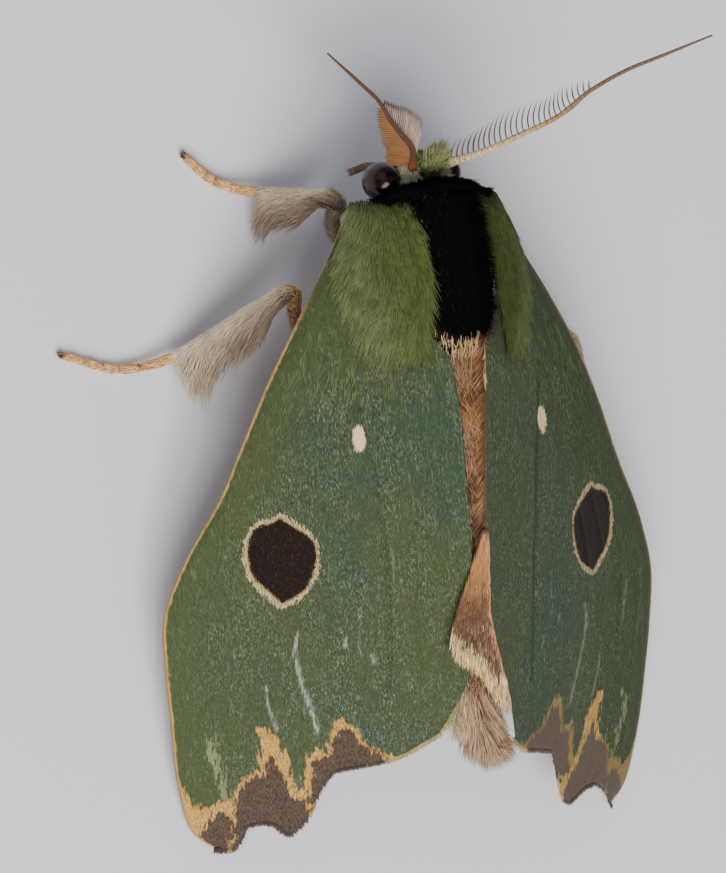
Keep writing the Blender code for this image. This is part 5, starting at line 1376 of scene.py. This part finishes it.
palp = {"start": (0.62, 0.15), "tip": (1.4, 0.1, 3.25), "stations": 24, "count": 600, "width": 0.03}
for side, word in bothSides:
    row = splineThrough(bodyStations, np.array([palp["start"][1]]), key=0)[0]
    low = row[2] - row[5] * np.sqrt(1 - (palp["start"][0] / row[3]) ** 2)
    start = np.array([*palp["start"], low])
    line = splineThrough([start, start + [0.15, -0.2, -0.4], palp["tip"]], palp["stations"])
    ahead, across, up = pathFrames(line, np.array([0.0, 1.0, 0.3]))
    rings = ringsAbout(line, across, up, np.linspace(0.1, 0.02, palp["stations"]), 12) * [side, 1, 1]
    makePiece("palpSkin_" + word, *tubeMesh(rings), legSkin.material, "palp_fur", ("palp_" + word,))
    spots = scatter(palp["count"])
    k = spots[:, 0] * (palp["stations"] - 1)
    at = [alongPath(k, np.arange(palp["stations"]), a) for a in (line, ahead, across, up)]
    turnAngle = 2 * np.pi * spots[:, 1]
    normal = at[2] * np.cos(turnAngle)[:, None] + at[3] * np.sin(turnAngle)[:, None]
    path = layHair((at[0] + 0.1 * normal) * [side, 1, 1], normal * [side, 1, 1], at[1] * [side, 1, 1],
                   0.16 * random.uniform(0.6, 1.3, len(k)), 0.35, 0.1, sink=0.0)
    makeCoat("palpFur_" + word, path, normal * [side, 1, 1], np.full(len(k), palp["width"]), femurFinish,
             "palp_fur", 0.3 * random.random(len(k)), spots)
print("stage: legs and palps")

# floor, light and camera

floorFinish = Finish("paleFloor", 0.8)
floorFinish.colour(screenColour((248, 248, 253)))
bpy.ops.mesh.primitive_plane_add(size=1.6)
ground = bpy.context.object
ground.name = "floor"
ground.data.materials.append(floorFinish.material)

aim = (np.array([3.0, 9.56, 5.0]) + bodyShift) * 0.001


def areaLight(name, direction, distance, size, watts, colour):
    lamp = bpy.data.lights.new(name, "AREA")
    lamp.size = size
    lamp.energy = watts
    lamp.color = colour
    item = bpy.data.objects.new(name, lamp)
    item.location = Vector(aim) + Vector(direction).normalized() * distance
    item.rotation_euler = Vector(direction).to_track_quat("Z", "Y").to_euler()
    bpy.context.scene.collection.objects.link(item)


areaLight("keyLight", (0.32, 0.56, 0.765), 0.3, 0.22, 1.2, (1.0, 0.97, 0.93))
areaLight("fillLight", (0.6, -0.55, 0.6), 0.5, 0.5, 0.4, (0.93, 0.96, 1.0))
world = bpy.data.worlds.new("studio")
world.use_nodes = True
world.node_tree.nodes["Background"].inputs["Color"].default_value = (0.82, 0.86, 1.0, 1.0)
world.node_tree.nodes["Background"].inputs["Strength"].default_value = 0.28
bpy.context.scene.world = world

# the camera looks down 60 degrees from the animal's left, rolled by 5.9 degrees
view = {"away": 0.9, "height": 0.03118, "sensor": 36.0, "down": (0.5, 0.8660254), "roll": (0.9947, 0.1028)}
back = np.array([view["down"][0], 0.0, view["down"][1]])
slant = np.array([-view["down"][1], 0.0, view["down"][0]])
tailWay = np.array([0.0, 1.0, 0.0])
right = normalise(view["roll"][0] * slant + view["roll"][1] * tailWay)
upWay = normalise(view["roll"][1] * slant - view["roll"][0] * tailWay)
lens = bpy.data.cameras.new("camera")
lens.sensor_width = view["sensor"]
lens.lens = view["sensor"] * view["away"] / view["height"]
lens.clip_start, lens.clip_end = 0.05, 10.0
camera = bpy.data.objects.new("camera", lens)
turnTo = Matrix([list(row) for row in np.stack([right, upWay, back], axis=1)]).to_4x4()
camera.matrix_world = Matrix.Translation(Vector(aim + back * view["away"])) @ turnTo
bpy.context.scene.collection.objects.link(camera)
bpy.context.scene.camera = camera
print("stage: light and camera")
